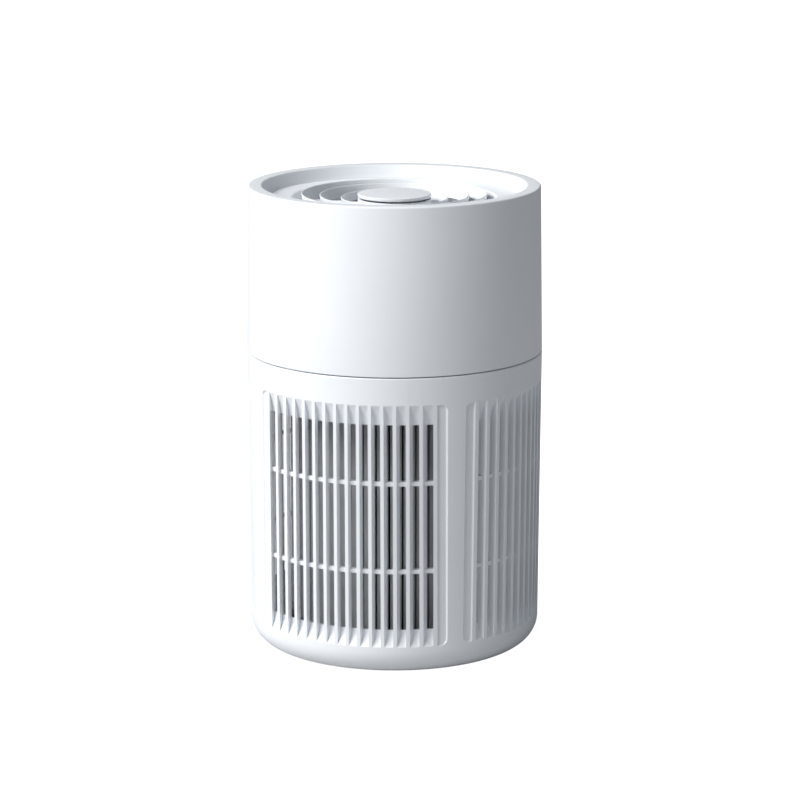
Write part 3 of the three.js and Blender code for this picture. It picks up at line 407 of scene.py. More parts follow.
def ramp(top):
    """The scooped end of a slot, as (depth, height), from the casing's surface in to the wall's depth."""
    start, end = (WINDOW_TOP, OPEN_TOP) if top else (WINDOW_BASE, OPEN_BASE)
    lip = EDGE if top else -EDGE
    points = [(0, start + lip), (EDGE * LIP_SHARE, start + lip * LIP_SHARE)]
    for i in range(1, RAMP_STEPS + 1):
        share = i / RAMP_STEPS
        depth = LOWER_WALL * (1 - (1 - share) ** RAMP_POWER)
        points.append((depth, start + (end - start) * share))
    return points


def slot_outline():
    """A slot's section as (depth, height), with the two cross ribs left standing."""
    through = 2 * SLAT_DEPTH
    ribs = []
    for station in RIB_STATIONS:
        middle = OPEN_BASE + station * (OPEN_TOP - OPEN_BASE)
        top, bottom = middle + RIB_HEIGHT / 2, middle - RIB_HEIGHT / 2
        ribs += [
            (through, top),
            (RIB_SETBACK + RIB_LIP, top - RIB_SLOPE),
            (RIB_SETBACK, top - RIB_SLOPE - RIB_LIP),
            (RIB_SETBACK, bottom + RIB_FOOT_LIP),
            (RIB_SETBACK + RIB_FOOT_LIP, bottom),
            (through, bottom),
        ]
    top_ramp, base_ramp = ramp(True), ramp(False)
    return [
        (OUTSIDE, top_ramp[0][1]), *top_ramp, (through, OPEN_TOP),
        *ribs,
        (through, OPEN_BASE), *reversed(base_ramp), (OUTSIDE, base_ramp[0][1]),
    ]


def channel_outline():
    """The closed channel beside the slats, as (depth, height), steep at both ends."""
    points = [(OUTSIDE, WINDOW_TOP + EDGE), (0, WINDOW_TOP + EDGE), (EDGE, WINDOW_TOP)]
    for i in range(1, ROUND_STEPS + 1):
        turn = math.pi / 2 * i / ROUND_STEPS
        depth = EDGE + (CHANNEL_DEPTH - EDGE) * math.sin(turn)
        points.append((depth, WINDOW_TOP - CHANNEL_END * (1 - math.cos(turn))))
    lower = [(depth, WINDOW_BASE + (WINDOW_TOP - z)) for depth, z in reversed(points)]
    return points + lower


def corner_levels():
    """Heights at which the rounding of the window's corners is followed."""
    shares = [1 - math.cos(math.pi / 2 * i / ROUND_STEPS) for i in range(1, ROUND_STEPS + 1)]
    steps = [CHANNEL_ROUND * share for share in shares]
    return [WINDOW_TOP - step for step in steps] + [WINDOW_BASE + step for step in steps]


def flat_tool(name, outline, left, right, levels=()):
    """A cutter laid flat: x across the window, y depth, z up. Its mouth flares by EDGE to round the rims."""
    draw([(left, depth, z) for depth, z in outline])
    bpy.ops.mesh.select_all(action="SELECT")
    bpy.ops.mesh.edge_face_add()
    bpy.ops.mesh.extrude_region_move(TRANSFORM_OT_translate={"value": ((right - left) * MM, 0, 0)})
    for depth in (EDGE, EDGE * EDGE_SHARE, 0.0):
        bpy.ops.mesh.select_all(action="SELECT")
        bpy.ops.mesh.bisect(plane_co=(0, depth * MM, 0), plane_no=(0, 1, 0))
    for height in levels:
        bpy.ops.mesh.select_all(action="SELECT")
        bpy.ops.mesh.bisect(plane_co=(0, 0, height * MM), plane_no=(0, 0, 1))
    tidy_mesh()
    tool = name_piece(name)
    for vertex in tool.data.vertices:
        depth = vertex.co.y / MM
        if depth > EDGE - 0.01:
            continue
        spread = EDGE if depth < 0.01 else EDGE * EDGE_SHARE
        if vertex.co.x / MM < (left + right) / 2:
            vertex.co.x -= spread * MM
        else:
            vertex.co.x += spread * MM
    return tool


def shape_border(tool, border):
    """Slants the channel's outer side and rounds the window's corners there."""
    for vertex in tool.data.vertices:
        x, z = vertex.co.x / MM, vertex.co.z / MM
        if abs(x) < abs(border) - 1:
            continue
        over = max(z - (WINDOW_TOP - CHANNEL_ROUND), (WINDOW_BASE + CHANNEL_ROUND) - z, 0)
        over = min(over / CHANNEL_ROUND, 1)
        inset = (CHANNEL_ROUND - CORNER_REST) * (1 - math.sqrt(1 - over ** 2))
        sunk = min(max(vertex.co.y / MM / CHANNEL_DEPTH, 0), 1)
        shift = CHANNEL_SLANT * (0.5 - sunk) - inset
        vertex.co.x += shift * math.copysign(MM, border)


def wrap(tool):
    """Bends a flat-laid cutter round the front of the casing."""
    for vertex in tool.data.vertices:
        depth = vertex.co.y / MM
        across = vertex.co.x / MM
        surface = math.sqrt(casing_radius(vertex.co.z / MM) ** 2 - across ** 2)
        vertex.co.y = -(surface - depth) * MM


def window_tools():
    """Every cutter of the front window: the slots and the two side channels."""
    first = flat_tool("slot_tool", slot_outline(), -SLOT / 2, SLOT / 2)
    tools = []
    for i in range(SLOTS):
        shift = (i - (SLOTS - 1) / 2) * PITCH
        tool = copy_of(first)
        for vertex in tool.data.vertices:
            vertex.co.x += shift * MM
        tools.append(tool)
    bpy.data.objects.remove(first)
    for side in (-1, 1):
        ends = sorted((side * FIELD / 2, side * HALF_WINDOW))
        tool = flat_tool("channel_tool", channel_outline(), *ends, corner_levels())
        shape_border(tool, side * HALF_WINDOW)
        tools.append(tool)
    for tool in tools:
        wrap(tool)
    return join(tools, "window_tool")


def lower_casing():
    """The barred lower casing."""
    shell = lower_shell()
    front = window_tools()
    tools = [front] + [copy_of(front, 360 / WINDOWS * i) for i in range(1, WINDOWS)]
    for i in range(LUGS):
        notch = sector(COVER_EDGE - 1, NOTCH_REACH, NOTCH_ANGLE + 360 / LUGS * i, NOTCH_SPAN)
        tools.append(prism("notch_tool", notch, BASE_Z - 1, BASE_Z + FLOOR + 1))
    carve(shell, join(tools, "casing_tool"))
    soften(shell, 20)
    return shell


# ---- upper casing and outlet

socket_low, socket_high = box_mm("power_socket")
SOCKET_Z = (socket_low.z + socket_high.z) / 2
SOCKET_RADIUS = 4.0
COLLAR_Z = DECK_Z - 7.4
HUB_TOP = RIM_Z - 8.2
WEB_TOP = RIM_Z - 11.7
BUTTON_GAP = 1.0


def upper_casing():
    """The plain upper casing with its bowl."""
    seat_top, seat_radius = DECK_Z - 2.0, DECK_RADIUS - 4
    shell = turned("upper_casing", rounded([
        (SEAM_RADIUS, UPPER_Z, 0.3),
        (RIM_RADIUS, RIM_Z, 1.1),
        (BOWL_RADIUS, RIM_Z, 1.3),
        (DECK_RADIUS + 1, DECK_Z + 1.4, 2.0),
        (DECK_RADIUS, DECK_Z),
        (DECK_RADIUS, seat_top),
        (seat_radius, seat_top),
        (seat_radius, seat_top - UPPER_WALL),
        (DECK_RADIUS + UPPER_WALL, seat_top - UPPER_WALL),
        (BOWL_RADIUS + UPPER_WALL, RIM_Z - UPPER_WALL),
        (RIM_RADIUS - UPPER_WALL, RIM_Z - UPPER_WALL),
        (SEAM_RADIUS - UPPER_WALL, UPPER_Z, 0.2),
    ], 8), FINE)
    bore, flare = SOCKET_RADIUS + 0.3, SOCKET_RADIUS + 1.1
    start, end = SEAM_RADIUS - 6, SEAM_RADIUS + 3
    hole = turned("socket_hole", [
        (0, start),
        (bore, start),
        (bore, SEAM_RADIUS - 0.5),
        (flare, SEAM_RADIUS + 0.3),
        (flare, end),
        (0, end),
    ], COARSE, closed=False)
    carve(shell, move(tip(hole, -90), z=SOCKET_Z))
    soften(shell, 28)
    return shell


def outlet_deck():
    """The flat ring round the outlet, rolled down into its collar."""
    roll_x, roll_z = OUTLET_RADIUS + DECK_ROLL, DECK_Z - DECK_ROLL
    outer, collar, underside = deck_high.x, OUTLET_RADIUS + 1.7, DECK_Z - 1.7
    return turned("outlet_deck", [
        (OUTLET_RADIUS, COLLAR_Z),
        (collar, COLLAR_Z),
        (collar, roll_z),
        (roll_x + 0.4, underside),
        (outer, underside),
        (outer, DECK_Z - 0.3),
        (outer - 0.3, DECK_Z),
        *arc_points(roll_x, roll_z, DECK_ROLL, 90, 180, 12),
    ], FINE)


def louvre_ring(station, drop):
    """One ring of the outlet, nearly upright and thicker at its foot."""
    top, foot = RIM_Z - drop, RING_FOOT_Z
    radius = HUB_RADIUS + station * (OUTLET_RADIUS - HUB_RADIUS)
    foot_radius = radius - RING_SLOPE * (top - foot)
    return turned("louvre", rounded([
        (radius, top, 0.4),
        (radius - RING_TOP, top, 0.4),
        (foot_radius - RING_FOOT, foot, 0.3),
        (foot_radius, foot, 0.3),
    ], 3), MEDIUM)


def outlet_grille():
    """Hub, rings, spokes and rim."""
    hub_base = grille_low.z
    spoke_top = RING_FOOT_Z + 0.5
    spoke_base = spoke_top - SPOKE_DEPTH
    wall, hole = HUB_RADIUS - 1.6, 5
    hub = turned("hub", rounded([
        (wall, hub_base),
        (HUB_RADIUS, hub_base, 0.3),
        (HUB_RADIUS, HUB_TOP, 0.3),
        (wall, HUB_TOP, 0.3),
        (wall, WEB_TOP, 0.6),
        (hole, WEB_TOP, 0.3),
        (hole, WEB_TOP - 1.5),
        (wall, WEB_TOP - 1.5),
    ], 4), MEDIUM)
    rim = square_ring("grille_rim", OUTLET_RADIUS - 2.2, OUTLET_RADIUS - 0.4, spoke_base, spoke_top,
                      (0.3, 0.3, 0.3, 0.5))
    spoke = block("spoke", (HUB_RADIUS - 0.8, -0.9, spoke_base), (OUTLET_RADIUS - 1, 0.9, spoke_top), 0.35)
    rings = [louvre_ring(*ring) for ring in RINGS]
    return join([hub, rim, *rings, *around(spoke, 6)], "outlet_grille")


def control_button():
    """The round button over the hub, slightly domed, with its stem and three hooks."""
    base = HUB_TOP + BUTTON_GAP
    top = RIM_Z - 5.3
    dome, steps = button_high.z - top, 14
    edge = 0.4
    crown = HUB_RADIUS - edge
    disc = turned("control_button", [
        (0, base),
        (crown, base),
        *arc_points(crown, base + edge, edge, -80, 0, 5),
        *arc_points(crown, top - edge, edge, 0, 82, 8),
        *[(crown * (1 - i / steps), top + dome * (1 - (1 - i / steps) ** 2)) for i in range(1, steps + 1)],
    ], FINE, closed=False, smooth=40)
    root = base + 0.5
    stem_radius, stem_foot = 2.6, WEB_TOP + 0.5
    stem = turned("stem", rounded([
        (0, stem_foot), (stem_radius, stem_foot, 0.3), (stem_radius, root), (0, root),
    ]), COARSE, closed=False)
    foot, catch, half_width = button_low.z, WEB_TOP - 1.8, 1.5
    inner, tooth = 9.3, 12
    leg = block("leg", (inner, -half_width, foot), (inner + 1.4, half_width, root), 0.2)
    barb = prism("barb", [
        (inner, foot), (inner + 1.6, foot), (tooth, WEB_TOP - 2.4), (tooth, catch), (inner, catch),
    ], -half_width, half_width)
    hook = join([leg, tip(barb, 90)], "hook")
    return join([disc, stem, *around(hook, 3, 30)], "control_button")


# ---- base cover, feet and socket

FLOOR_TOP = BASE_Z + FLOOR
GRIP_RADIUS = 24.0
GRIP_TOP = BASE_Z + 9.5


def base_cover():
    """The round cover under the filter, with its grip, seat ring and four lugs."""
    top = BASE_Z + 2.5
    seat, seat_inner = COVER_EDGE - 2.8, COVER_EDGE - 5.3
    shell = turned("base_cover", rounded([
        (0, GRIP_TOP),
        (GRIP_RADIUS, GRIP_TOP, 2.5),
        (GRIP_RADIUS, BASE_Z, 1.2),
        (COVER_EDGE, BASE_Z, 0.5),
        (COVER_EDGE, top, 0.3),
        (seat, top, 0.6),
        (seat, cover_high.z, 0.5),
        (seat_inner, cover_high.z, 0.5),
        (seat_inner, top, 0.6),
        (GRIP_RADIUS + 2, top, 0.6),
        (GRIP_RADIUS + 2, GRIP_TOP + 2, 1.5),
        (0, GRIP_TOP + 2),
    ], 5), MEDIUM, closed=False)
    lug = prism("lug", sector(seat - 1, LUG_REACH, 0, LUG_SPAN), FLOOR_TOP + 0.3, FLOOR_TOP + 2.8, 0.35)
    reach, half_width = GRIP_RADIUS + 1, 4.5
    grip = block("grip", (-reach, -half_width, BASE_Z), (reach, half_width, GRIP_TOP + 1), 1.1)
    return join([shell, grip, *around(lug, LUGS, LUG_ANGLE)], "base_cover")


def feet():
    """Four rubber pads in the flat of the base."""
    middle = (foot_low.x + foot_high.x) / 2
    width = 3.1
    span = 2 * math.degrees(math.asin(foot_high.y / foot_high.x))
    outline = sector(middle - width / 2, middle + width / 2, 0, span, 10)
    pads = around(prism("foot", outline, foot_low.z, foot_high.z, 0.3), 4)
    for i, foot in enumerate(pads):
        foot.name = foot.data.name = f"foot_pad_{i + 1}"
        place(foot, "casing", "rubber", f"foot_{i + 1}")


def power_socket():
    """The round inlet at the back, with its pin."""
    back, face = socket_low.y, socket_high.y
    well, pin_radius, pin_tip = 2.8, 0.9, face - 1.5
    barrel = turned("barrel", rounded([
        (0, back + 1),
        (SOCKET_RADIUS, back + 1),
        (SOCKET_RADIUS, face, 0.4),
        (well, face, 0.5),
        (well, back + 2),
        (0, back + 2),
    ], 4), COARSE, closed=False)
    pin = turned("pin", rounded([
        (0, back + 1.5), (pin_radius, back + 1.5), (pin_radius, pin_tip, 0.4), (0, pin_tip),
    ], 4), 24, closed=False)
    barrel = move(tip(join([barrel, pin], "barrel"), -90), z=SOCKET_Z)
    front = SEAM_RADIUS - UPPER_WALL - 2
    body = block("body", (socket_low.x, back, socket_low.z), (socket_high.x, front, socket_high.z), 0.4)
    return join([body, barrel], "power_socket")


# ---- filter

base_cap_low, base_cap_high = box_mm("filter_base_cap")
top_cap_low, top_cap_high = box_mm("filter_top_cap")
gasket_low, gasket_high = box_mm("filter_gasket")
carbon_low, carbon_high = box_mm("carbon_layer")
PLEATS = 50
CREST_HALF = 2.85  # half the width of a pleat's flat outer end
VALLEY_HALF = 0.75
PLEAT_TAPER = 0.9
CLOTH = 0.45
NET_OUTSIDE = 0.3  # the net's two faces, outwards from the cloth
NET_INSIDE = 0.1
CARBON = 2.3  # wall of the carbon layer
GASKET = 11.0  # width of the gasket


def pleat_loop(inward):
    """The zigzag of the pleated cloth, its outer face or, moved inward, its inner face."""
    points = []
    crest, valley = MEDIA_RADIUS - inward, MEDIA_BORE + CLOTH - inward
    crest_half, valley_half = CREST_HALF - inward * PLEAT_TAPER, VALLEY_HALF + inward * PLEAT_TAPER
    for i in range(PLEATS):
        middle = 2 * math.pi * (i + 0.5) / PLEATS
        for radius, half, shift in ((crest, crest_half, 0), (valley, valley_half, math.pi / PLEATS)):
            for side in (-1, 1):
                angle = middle + shift + side * half / radius
                points.append((radius * math.cos(angle), radius * math.sin(angle)))
    return points


def pleated(name, outer, inner, low, high):
    """A sheet folded into pleats all round. Its faces lie inwards from the cloth's outer face."""
    sheet = prism(name, pleat_loop(outer), low, high)
    carve(sheet, prism("pleat_inside", pleat_loop(inner), low - 1, high + 1))
    soften(sheet, 20)
    return sheet


def filter_parts():
    """Cloth, net, carbon, caps and gasket."""
    media = pleated("filter_media", 0.0, CLOTH, media_low.z, media_high.z)
    place(media, "casing", "filter_cloth", "filter_media")
    net = pleated("filter_net", -NET_OUTSIDE, -NET_INSIDE, net_low.z, net_high.z)
    place(net, "casing", "filter_net", "filter_net")
    bore = carbon_high.x - CARBON
    carbon = square_ring("carbon_layer", bore, carbon_high.x, carbon_low.z, carbon_high.z,
                         (0.3, 0.3, 0.3, 0.3))
    place(carbon, "casing", "carbon", "carbon_layer")
    radius = base_cap_high.x
    base_cap = turned("filter_base_cap", rounded([
        (0, base_cap_low.z), (radius, base_cap_low.z, 0.8),
        (radius, base_cap_high.z, 0.8), (0, base_cap_high.z),
    ], 5), FINE, closed=False)
    place(base_cap, "casing", "black_plastic", "filter_base_cap")
    top_cap = square_ring("filter_top_cap", bore, radius, top_cap_low.z, top_cap_high.z,
                          (0.5, 0.8, 0.8, 0.8), 5, FINE)
    place(top_cap, "casing", "black_plastic", "filter_top_cap")
    gasket = square_ring("filter_gasket", gasket_high.x - GASKET, gasket_high.x, gasket_low.z,
                         gasket_high.z, (0.4, 0.4, 1.0, 1.0), 5)
    place(gasket, "casing", "foam", "filter_gasket")


# ---- fan

duct_low, duct_high = box_mm("fan_duct")
plate_low, plate_high = box_mm("inlet_plate")
wheel_low, wheel_high = box_mm("impeller")
case_low, case_high = box_mm("motor_case")
DUCT_FLANGE = duct_high.x
DUCT_OUTER = DUCT_FLANGE - 6.3
DUCT_WALL = 2.0
DUCT_INNER = DUCT_OUTER - DUCT_WALL
DUCT_TOP_INNER = OUTLET_RADIUS + 0.3
WHEEL_RADIUS = wheel_high.x
THROAT = carbon_high.x - CARBON - 1
CUP_INNER = case_high.x + 2.0
CUP_FLOOR_TOP = case_low.z - 0.3
CUP_TOP = grille_low.z - 0.3
VANES = 7
VANE_TOP = duct_high.z - 9.3
BLADES = 9


def fan_duct():
    """The duct round the fan, with the motor's cup held on seven vanes."""
    base, top = duct_low.z, duct_high.z
    taper, taper_top = wheel_high.z, wheel_high.z + 14
    wall = turned("duct_wall", rounded([
        (DUCT_INNER, base, 0.4),
        (DUCT_FLANGE, base, 0.4),
        (DUCT_FLANGE, base + 4, 0.6),
        (DUCT_OUTER, base + 4, 1.0),
        (DUCT_OUTER, taper, 4),
        (DUCT_TOP_INNER + DUCT_WALL, taper_top, 4),
        (DUCT_TOP_INNER + DUCT_WALL, top, 0.4),
        (DUCT_TOP_INNER, top, 0.4),
        (DUCT_TOP_INNER, taper_top, 4),
        (DUCT_INNER, taper, 4),
    ], 5), MEDIUM)
    shaft_hole, cup_outer, underside = 4, CUP_INNER + DUCT_WALL, CUP_FLOOR_TOP - DUCT_WALL
    cup = turned("motor_cup", rounded([
        (shaft_hole, underside, 0.3),
        (cup_outer, underside, 2.5),
        (cup_outer, CUP_TOP, 0.4),
        (CUP_INNER, CUP_TOP, 0.4),
        (CUP_INNER, CUP_FLOOR_TOP, 0.8),
        (shaft_hole, CUP_FLOOR_TOP, 0.3),
    ], 5), MEDIUM)
    vane = block("vane", (CUP_INNER + 1, -1, VANE_TOP - 9), (DUCT_TOP_INNER + 1, 1, VANE_TOP), 0.5)
    return join([wall, cup, *around(vane, VANES, 90)], "fan_duct")


def inlet_plate():
    """The plate over the filter with its flared mouth and guard."""
    outer, low, top = plate_high.x, plate_low.z, plate_low.z + 3
    throat_top, throat_outer, mouth = plate_high.z, THROAT + 1.6, THROAT + 7
    plate = turned("inlet_plate", rounded([
        (mouth, low, 0.5),
        (outer, low, 0.4),
        (outer, top, 0.4),
        (mouth + 1.6, top, 2),
        (throat_outer, top + 3.3, 2),
        (throat_outer, throat_top, 0.4),
        (THROAT, throat_top, 0.4),
        (THROAT, top + 3.3, 3),
        (THROAT + 2.45, top, 3),
    ], 5), MEDIUM)
    half, guard_top = 0.9, low + 1.6
    rings = []
    for middle in (mouth / 3, mouth * 2 / 3):
        rings.append(square_ring("guard", middle - half, middle + half, low, guard_top,
                                 (0.4, 0.4, 0.4, 0.4), 3, 64))
    spoke = block("guard_spoke", (mouth / 3, -half, low), (mouth + 1, half, guard_top), 0.35)
    return join([plate, *rings, *around(spoke, 6)], "inlet_plate")


def impeller():
    """Backward-curved wheel with its back plate, shroud and nine blades."""
    base, top = wheel_low.z, wheel_high.z
    plate = top - 1.8
    nose, bore, boss = base + 13, 2.3, 6
    back = turned("impeller", rounded([
        (bore, nose, 0.3),
        (boss, nose, 0.8),
        (boss, plate - 3, 2),
        (10, plate, 2),
        (WHEEL_RADIUS, plate, 0.5),
        (WHEEL_RADIUS, top, 0.5),
        (bore, top, 0.3),
    ], 5), MEDIUM)
    shroud = square_ring("shroud", THROAT + 1, WHEEL_RADIUS, base, base + 1.8, (0.5, 0.5, 0.5, 0.5), 4)
    root, steps, sweep = THROAT * 0.6, 14, math.radians(42)
    sides = []
    for offset in (-0.8, 0.8):
        side = []
        for i in range(steps + 1):
            share = i / steps
            radius = root + (WHEEL_RADIUS - 0.3 - root) * share
            angle = -sweep * share * share + offset / radius
            side.append((radius * math.cos(angle), radius * math.sin(angle)))
        sides.append(side)
    blade = prism("blade", sides[0] + sides[1][::-1], base + 0.4, plate + 0.4)
    soften(blade, 30)
    return join([back, shroud, *around(blade, BLADES)], "impeller")


def motor_shell():
    """The drawn steel case, its cap and the rubber sleeve round it."""
    radius, base = case_high.x, case_low.z
    shaft_hole, bearing, holder = 3, 6, 7.5
    case = turned("motor_case", rounded([
        (shaft_hole, base, 0.3), (radius, base, 1.5), (radius, case_high.z, 0.2), (radius - 1, case_high.z),
        (radius - 1, base + 2, 1.0), (holder, base + 2), (holder, base + 4), (bearing, base + 4),
        (bearing, base + 0.7), (shaft_hole, base + 0.7),
    ], 5), MEDIUM)
    place(case, "casing", "steel", "motor_case")
    cap_low, cap_high = box_mm("motor_cap")
    seat = case_high.z - 2
    cap = turned("motor_cap", rounded([
        (shaft_hole, cap_low.z), (bearing, cap_low.z), (bearing, seat), (holder, seat),
        (holder, case_high.z + 0.3), (radius, case_high.z + 0.3, 0.2), (radius, cap_high.z, 0.8),
        (shaft_hole, cap_high.z, 0.3),
    ], 5), MEDIUM)
    place(cap, "casing", "steel", "motor_cap")
    sleeve_low, sleeve_high = box_mm("motor_sleeve")
    sleeve = square_ring("motor_sleeve", radius + 0.3, sleeve_high.x, sleeve_low.z, sleeve_high.z,
                         (0.3, 0.4, 0.4, 0.3))
    place(sleeve, "casing", "rubber", "motor_sleeve")


# ---- screws


def screw(name, shank, head):
    """A pan-head screw with a cross recess, standing where the CAD node of that name stands."""
    low, high = box_mm(name)
    middle = (low + high) / 2
    length, head_height = high.z - low.z, 1.6
    body = turned(name, [
        (0, 0), (head - 0.7, 0), *arc_points(head - 0.7, 0.7, 0.7, -80, 0, 4), (head, head_height),
        (shank, head_height), (shank, length - 0.8), (shank * 0.55, length), (0, length),
    ], COARSE, closed=False)
    arm, half_width, recess = head * 0.6, 0.28, 0.8
    slot_a = block("slot_a", (-arm, -half_width, -1), (arm, half_width, recess))
    slot_b = copy_of(slot_a, 90)
    carve(slot_a, slot_b, "UNION")
    carve(body, slot_a)
    soften(body, 30)
    return move(body, middle.x, middle.y, low.z)


def screws():
    """Every upright screw: its kind, how many, and the radii of its shank and head."""
    large, small = (1.4, 2.7), (1.0, 2.0)
    sizes = (("casing_screw", 4, large), ("duct_screw", 3, large), ("control_screw", 2, small),
             ("motor_screw", 3, small))
    for kind, count, radii in sizes:
        for i in range(count):
            name = f"{kind}_{i + 1}"
            place(screw(name, *radii), "casing", "screw_zinc", name)


# ---- finishes


def node(tree, kind, links=None, **settings):
    """Adds a shader node. A link is a socket to join from, or a plain value."""
    made = tree.nodes.new("ShaderNode" + kind)
    for key, value in settings.items():
        setattr(made, key, value)
    for place_in, source in (links or {}).items():
        if isinstance(source, bpy.types.NodeSocket):
            tree.links.new(source, made.inputs[place_in])
        else:
            made.inputs[place_in].default_value = source
    return made


def effect(name, inputs, outputs):
    """An empty effect with named inputs and outputs."""
    tree = bpy.data.node_groups.new(name, "ShaderNodeTree")
    for label, value in inputs.items():
        kind = "NodeSocketColor" if isinstance(value, tuple) else "NodeSocketFloat"
        tree.interface.new_socket(name=label, in_out="INPUT", socket_type=kind).default_value = value
    for label, kind in outputs.items():
        tree.interface.new_socket(name=label, in_out="OUTPUT", socket_type="NodeSocket" + kind)
    start = tree.nodes.new("NodeGroupInput")
    end = tree.nodes.new("NodeGroupOutput")
    coordinates = node(tree, "TexCoord").outputs["Object"]
    return tree, start.outputs, end, coordinates


def noise(tree, coordinates, scale, detail=3.0, roughness=0.55):
    """Noise on object coordinates."""
    return node(tree, "TexNoise", {
        "Vector": coordinates, "Scale": scale, "Detail": detail, "Roughness": roughness,
    }).outputs["Fac"]


def math_node(tree, operation, first, second=0.5, clamp=False):
    """One step of arithmetic."""
    return node(tree, "Math", {0: first, 1: second}, operation=operation, use_clamp=clamp).outputs[0]


def mix(tree, share, first, second):
    """Blends two colours."""
    made = tree.nodes.new("ShaderNodeMix")
    made.data_type = "RGBA"
    for place_in, source in ((0, share), (6, first), (7, second)):
        if isinstance(source, bpy.types.NodeSocket):
            tree.links.new(source, made.inputs[place_in])
        else:
            made.inputs[place_in].default_value = source
    return made.outputs[2]


def make_grain():
    """Fine moulded grain, as a normal."""
    tree, given, end, where = effect("moulded grain", {"Size": 2500.0, "Height": 0.2}, {"Normal": "Vector"})
    fine = noise(tree, where, given["Size"], 2.0)
    coarse = noise(tree, where, math_node(tree, "MULTIPLY", given["Size"], 0.23), 2.0)
    both = math_node(tree, "ADD", fine, math_node(tree, "MULTIPLY", coarse, 0.6))
    bump = node(tree, "Bump", {"Height": both, "Strength": given["Height"], "Distance": 0.00008})
    tree.links.new(bump.outputs["Normal"], end.inputs["Normal"])
    return tree


def make_tone():
    """Slight drift of colour and gloss over the surface."""
    tree, given, end, where = effect(
        "surface drift",
        {"Colour": (0.8, 0.8, 0.8, 1.0), "Drift": 0.03, "Gloss": 0.4, "Gloss Drift": 0.08, "Size": 22.0},
        {"Colour": "Color", "Roughness": "Float"},
    )
    cloud = noise(tree, where, given["Size"], 4.0)
    span = node(tree, "MapRange", {
        "Value": cloud, "From Min": 0.3, "From Max": 0.7, "To Min": -1.0, "To Max": 1.0,
    })
    factor = math_node(tree, "ADD", math_node(tree, "MULTIPLY", span.outputs[0], given["Drift"]), 1.0)
    tinted = node(tree, "VectorMath", {0: given["Colour"]}, operation="SCALE")
    tree.links.new(factor, tinted.inputs["Scale"])
    tree.links.new(tinted.outputs["Vector"], end.inputs["Colour"])
    patches = math_node(tree, "SUBTRACT", noise(tree, where, 160.0, 5.0), 0.5)
    gloss = math_node(tree, "MULTIPLY", patches, given["Gloss Drift"])
    tree.links.new(math_node(tree, "ADD", gloss, given["Gloss"], True), end.inputs["Roughness"])
    return tree


def make_scuffs():
    """Sparse hair scratches, as a mask."""
    tree, given, end, where = effect("hair scratches", {"Amount": 0.2, "Length": 14.0}, {"Mask": "Float"})
    bent = node(tree, "VectorMath", {0: where, 1: (1.0, 0.8, 0.06)}, operation="MULTIPLY").outputs["Vector"]
    lines = node(tree, "TexWave", {
        "Vector": bent, "Scale": 320.0, "Distortion": given["Length"], "Detail": 3.0, "Detail Scale": 0.6,
    }).outputs["Fac"]
    thin = node(tree, "MapRange", {"Value": lines, "From Min": 0.985, "From Max": 1.0}).outputs[0]
    patches = node(tree, "MapRange", {
        "Value": noise(tree, where, 30.0, 4.0), "From Min": 0.55, "From Max": 0.72,
    }).outputs[0]
    mask = math_node(tree, "MULTIPLY", math_node(tree, "MULTIPLY", thin, patches), given["Amount"], True)
    tree.links.new(mask, end.inputs["Mask"])
    return tree


def make_dust():
    """A trace of dust on what faces up, as a mask."""
    tree, given, end, where = effect("resting dust", {"Amount": 0.1}, {"Mask": "Float"})
    normal = node(tree, "NewGeometry").outputs["Normal"]
    up = node(tree, "SeparateXYZ", {0: normal}).outputs["Z"]
    facing = node(tree, "MapRange", {"Value": up, "From Min": 0.3, "From Max": 1.0}).outputs[0]
    specks = node(tree, "MapRange", {
        "Value": noise(tree, where, 900.0, 6.0, 0.7), "From Min": 0.45, "From Max": 0.75,
    }).outputs[0]
    mask = math_node(tree, "MULTIPLY", math_node(tree, "MULTIPLY", facing, specks), given["Amount"], True)
    tree.links.new(mask, end.inputs["Mask"])
    return tree


EFFECTS = {"grain": make_grain(), "tone": make_tone(), "scuffs": make_scuffs(), "dust": make_dust()}


def use(tree, name, **values):
    """Places an effect in a material."""
    made = tree.nodes.new("ShaderNodeGroup")
    made.node_tree = EFFECTS[name]
    for label, value in values.items():
        made.inputs[label.replace("_", " ")].default_value = value
    return made.outputs


def finish(name, colour, roughness, metallic=0.0, drift=0.03, grain=(2500.0, 0.2), scratch=0.0, dust=0.0,
           size=22.0, specular=0.5):
    """A material from the shared effects."""
    material = bpy.data.materials.new(name)
    material.use_nodes = True
    tree = material.node_tree
    shader = tree.nodes["Principled BSDF"]
    tone = use(tree, "tone", Colour=(*colour, 1.0), Drift=drift, Gloss=roughness, Gloss_Drift=0.12, Size=size)
    tint, gloss = tone["Colour"], tone["Roughness"]
    if scratch:
        mask = use(tree, "scuffs", Amount=scratch)["Mask"]
        gloss = math_node(tree, "ADD", gloss, math_node(tree, "MULTIPLY", mask, 0.3), True)
        tint = mix(tree, mask, tint, tuple(c * 0.7 for c in colour) + (1.0,))
    if dust:
        mask = use(tree, "dust", Amount=dust)["Mask"]
        gloss = math_node(tree, "ADD", gloss, math_node(tree, "MULTIPLY", mask, 0.4), True)
        tint = mix(tree, mask, tint, (0.55, 0.54, 0.52, 1.0))
    tree.links.new(tint, shader.inputs["Base Color"])
    tree.links.new(gloss, shader.inputs["Roughness"])
    tree.links.new(use(tree, "grain", Size=grain[0], Height=grain[1])["Normal"], shader.inputs["Normal"])
    shader.inputs["Metallic"].default_value = metallic
    shader.inputs["Specular IOR Level"].default_value = specular
    return material


def principled(material):
    """The material's own shader."""
    return material.node_tree.nodes["Principled BSDF"]


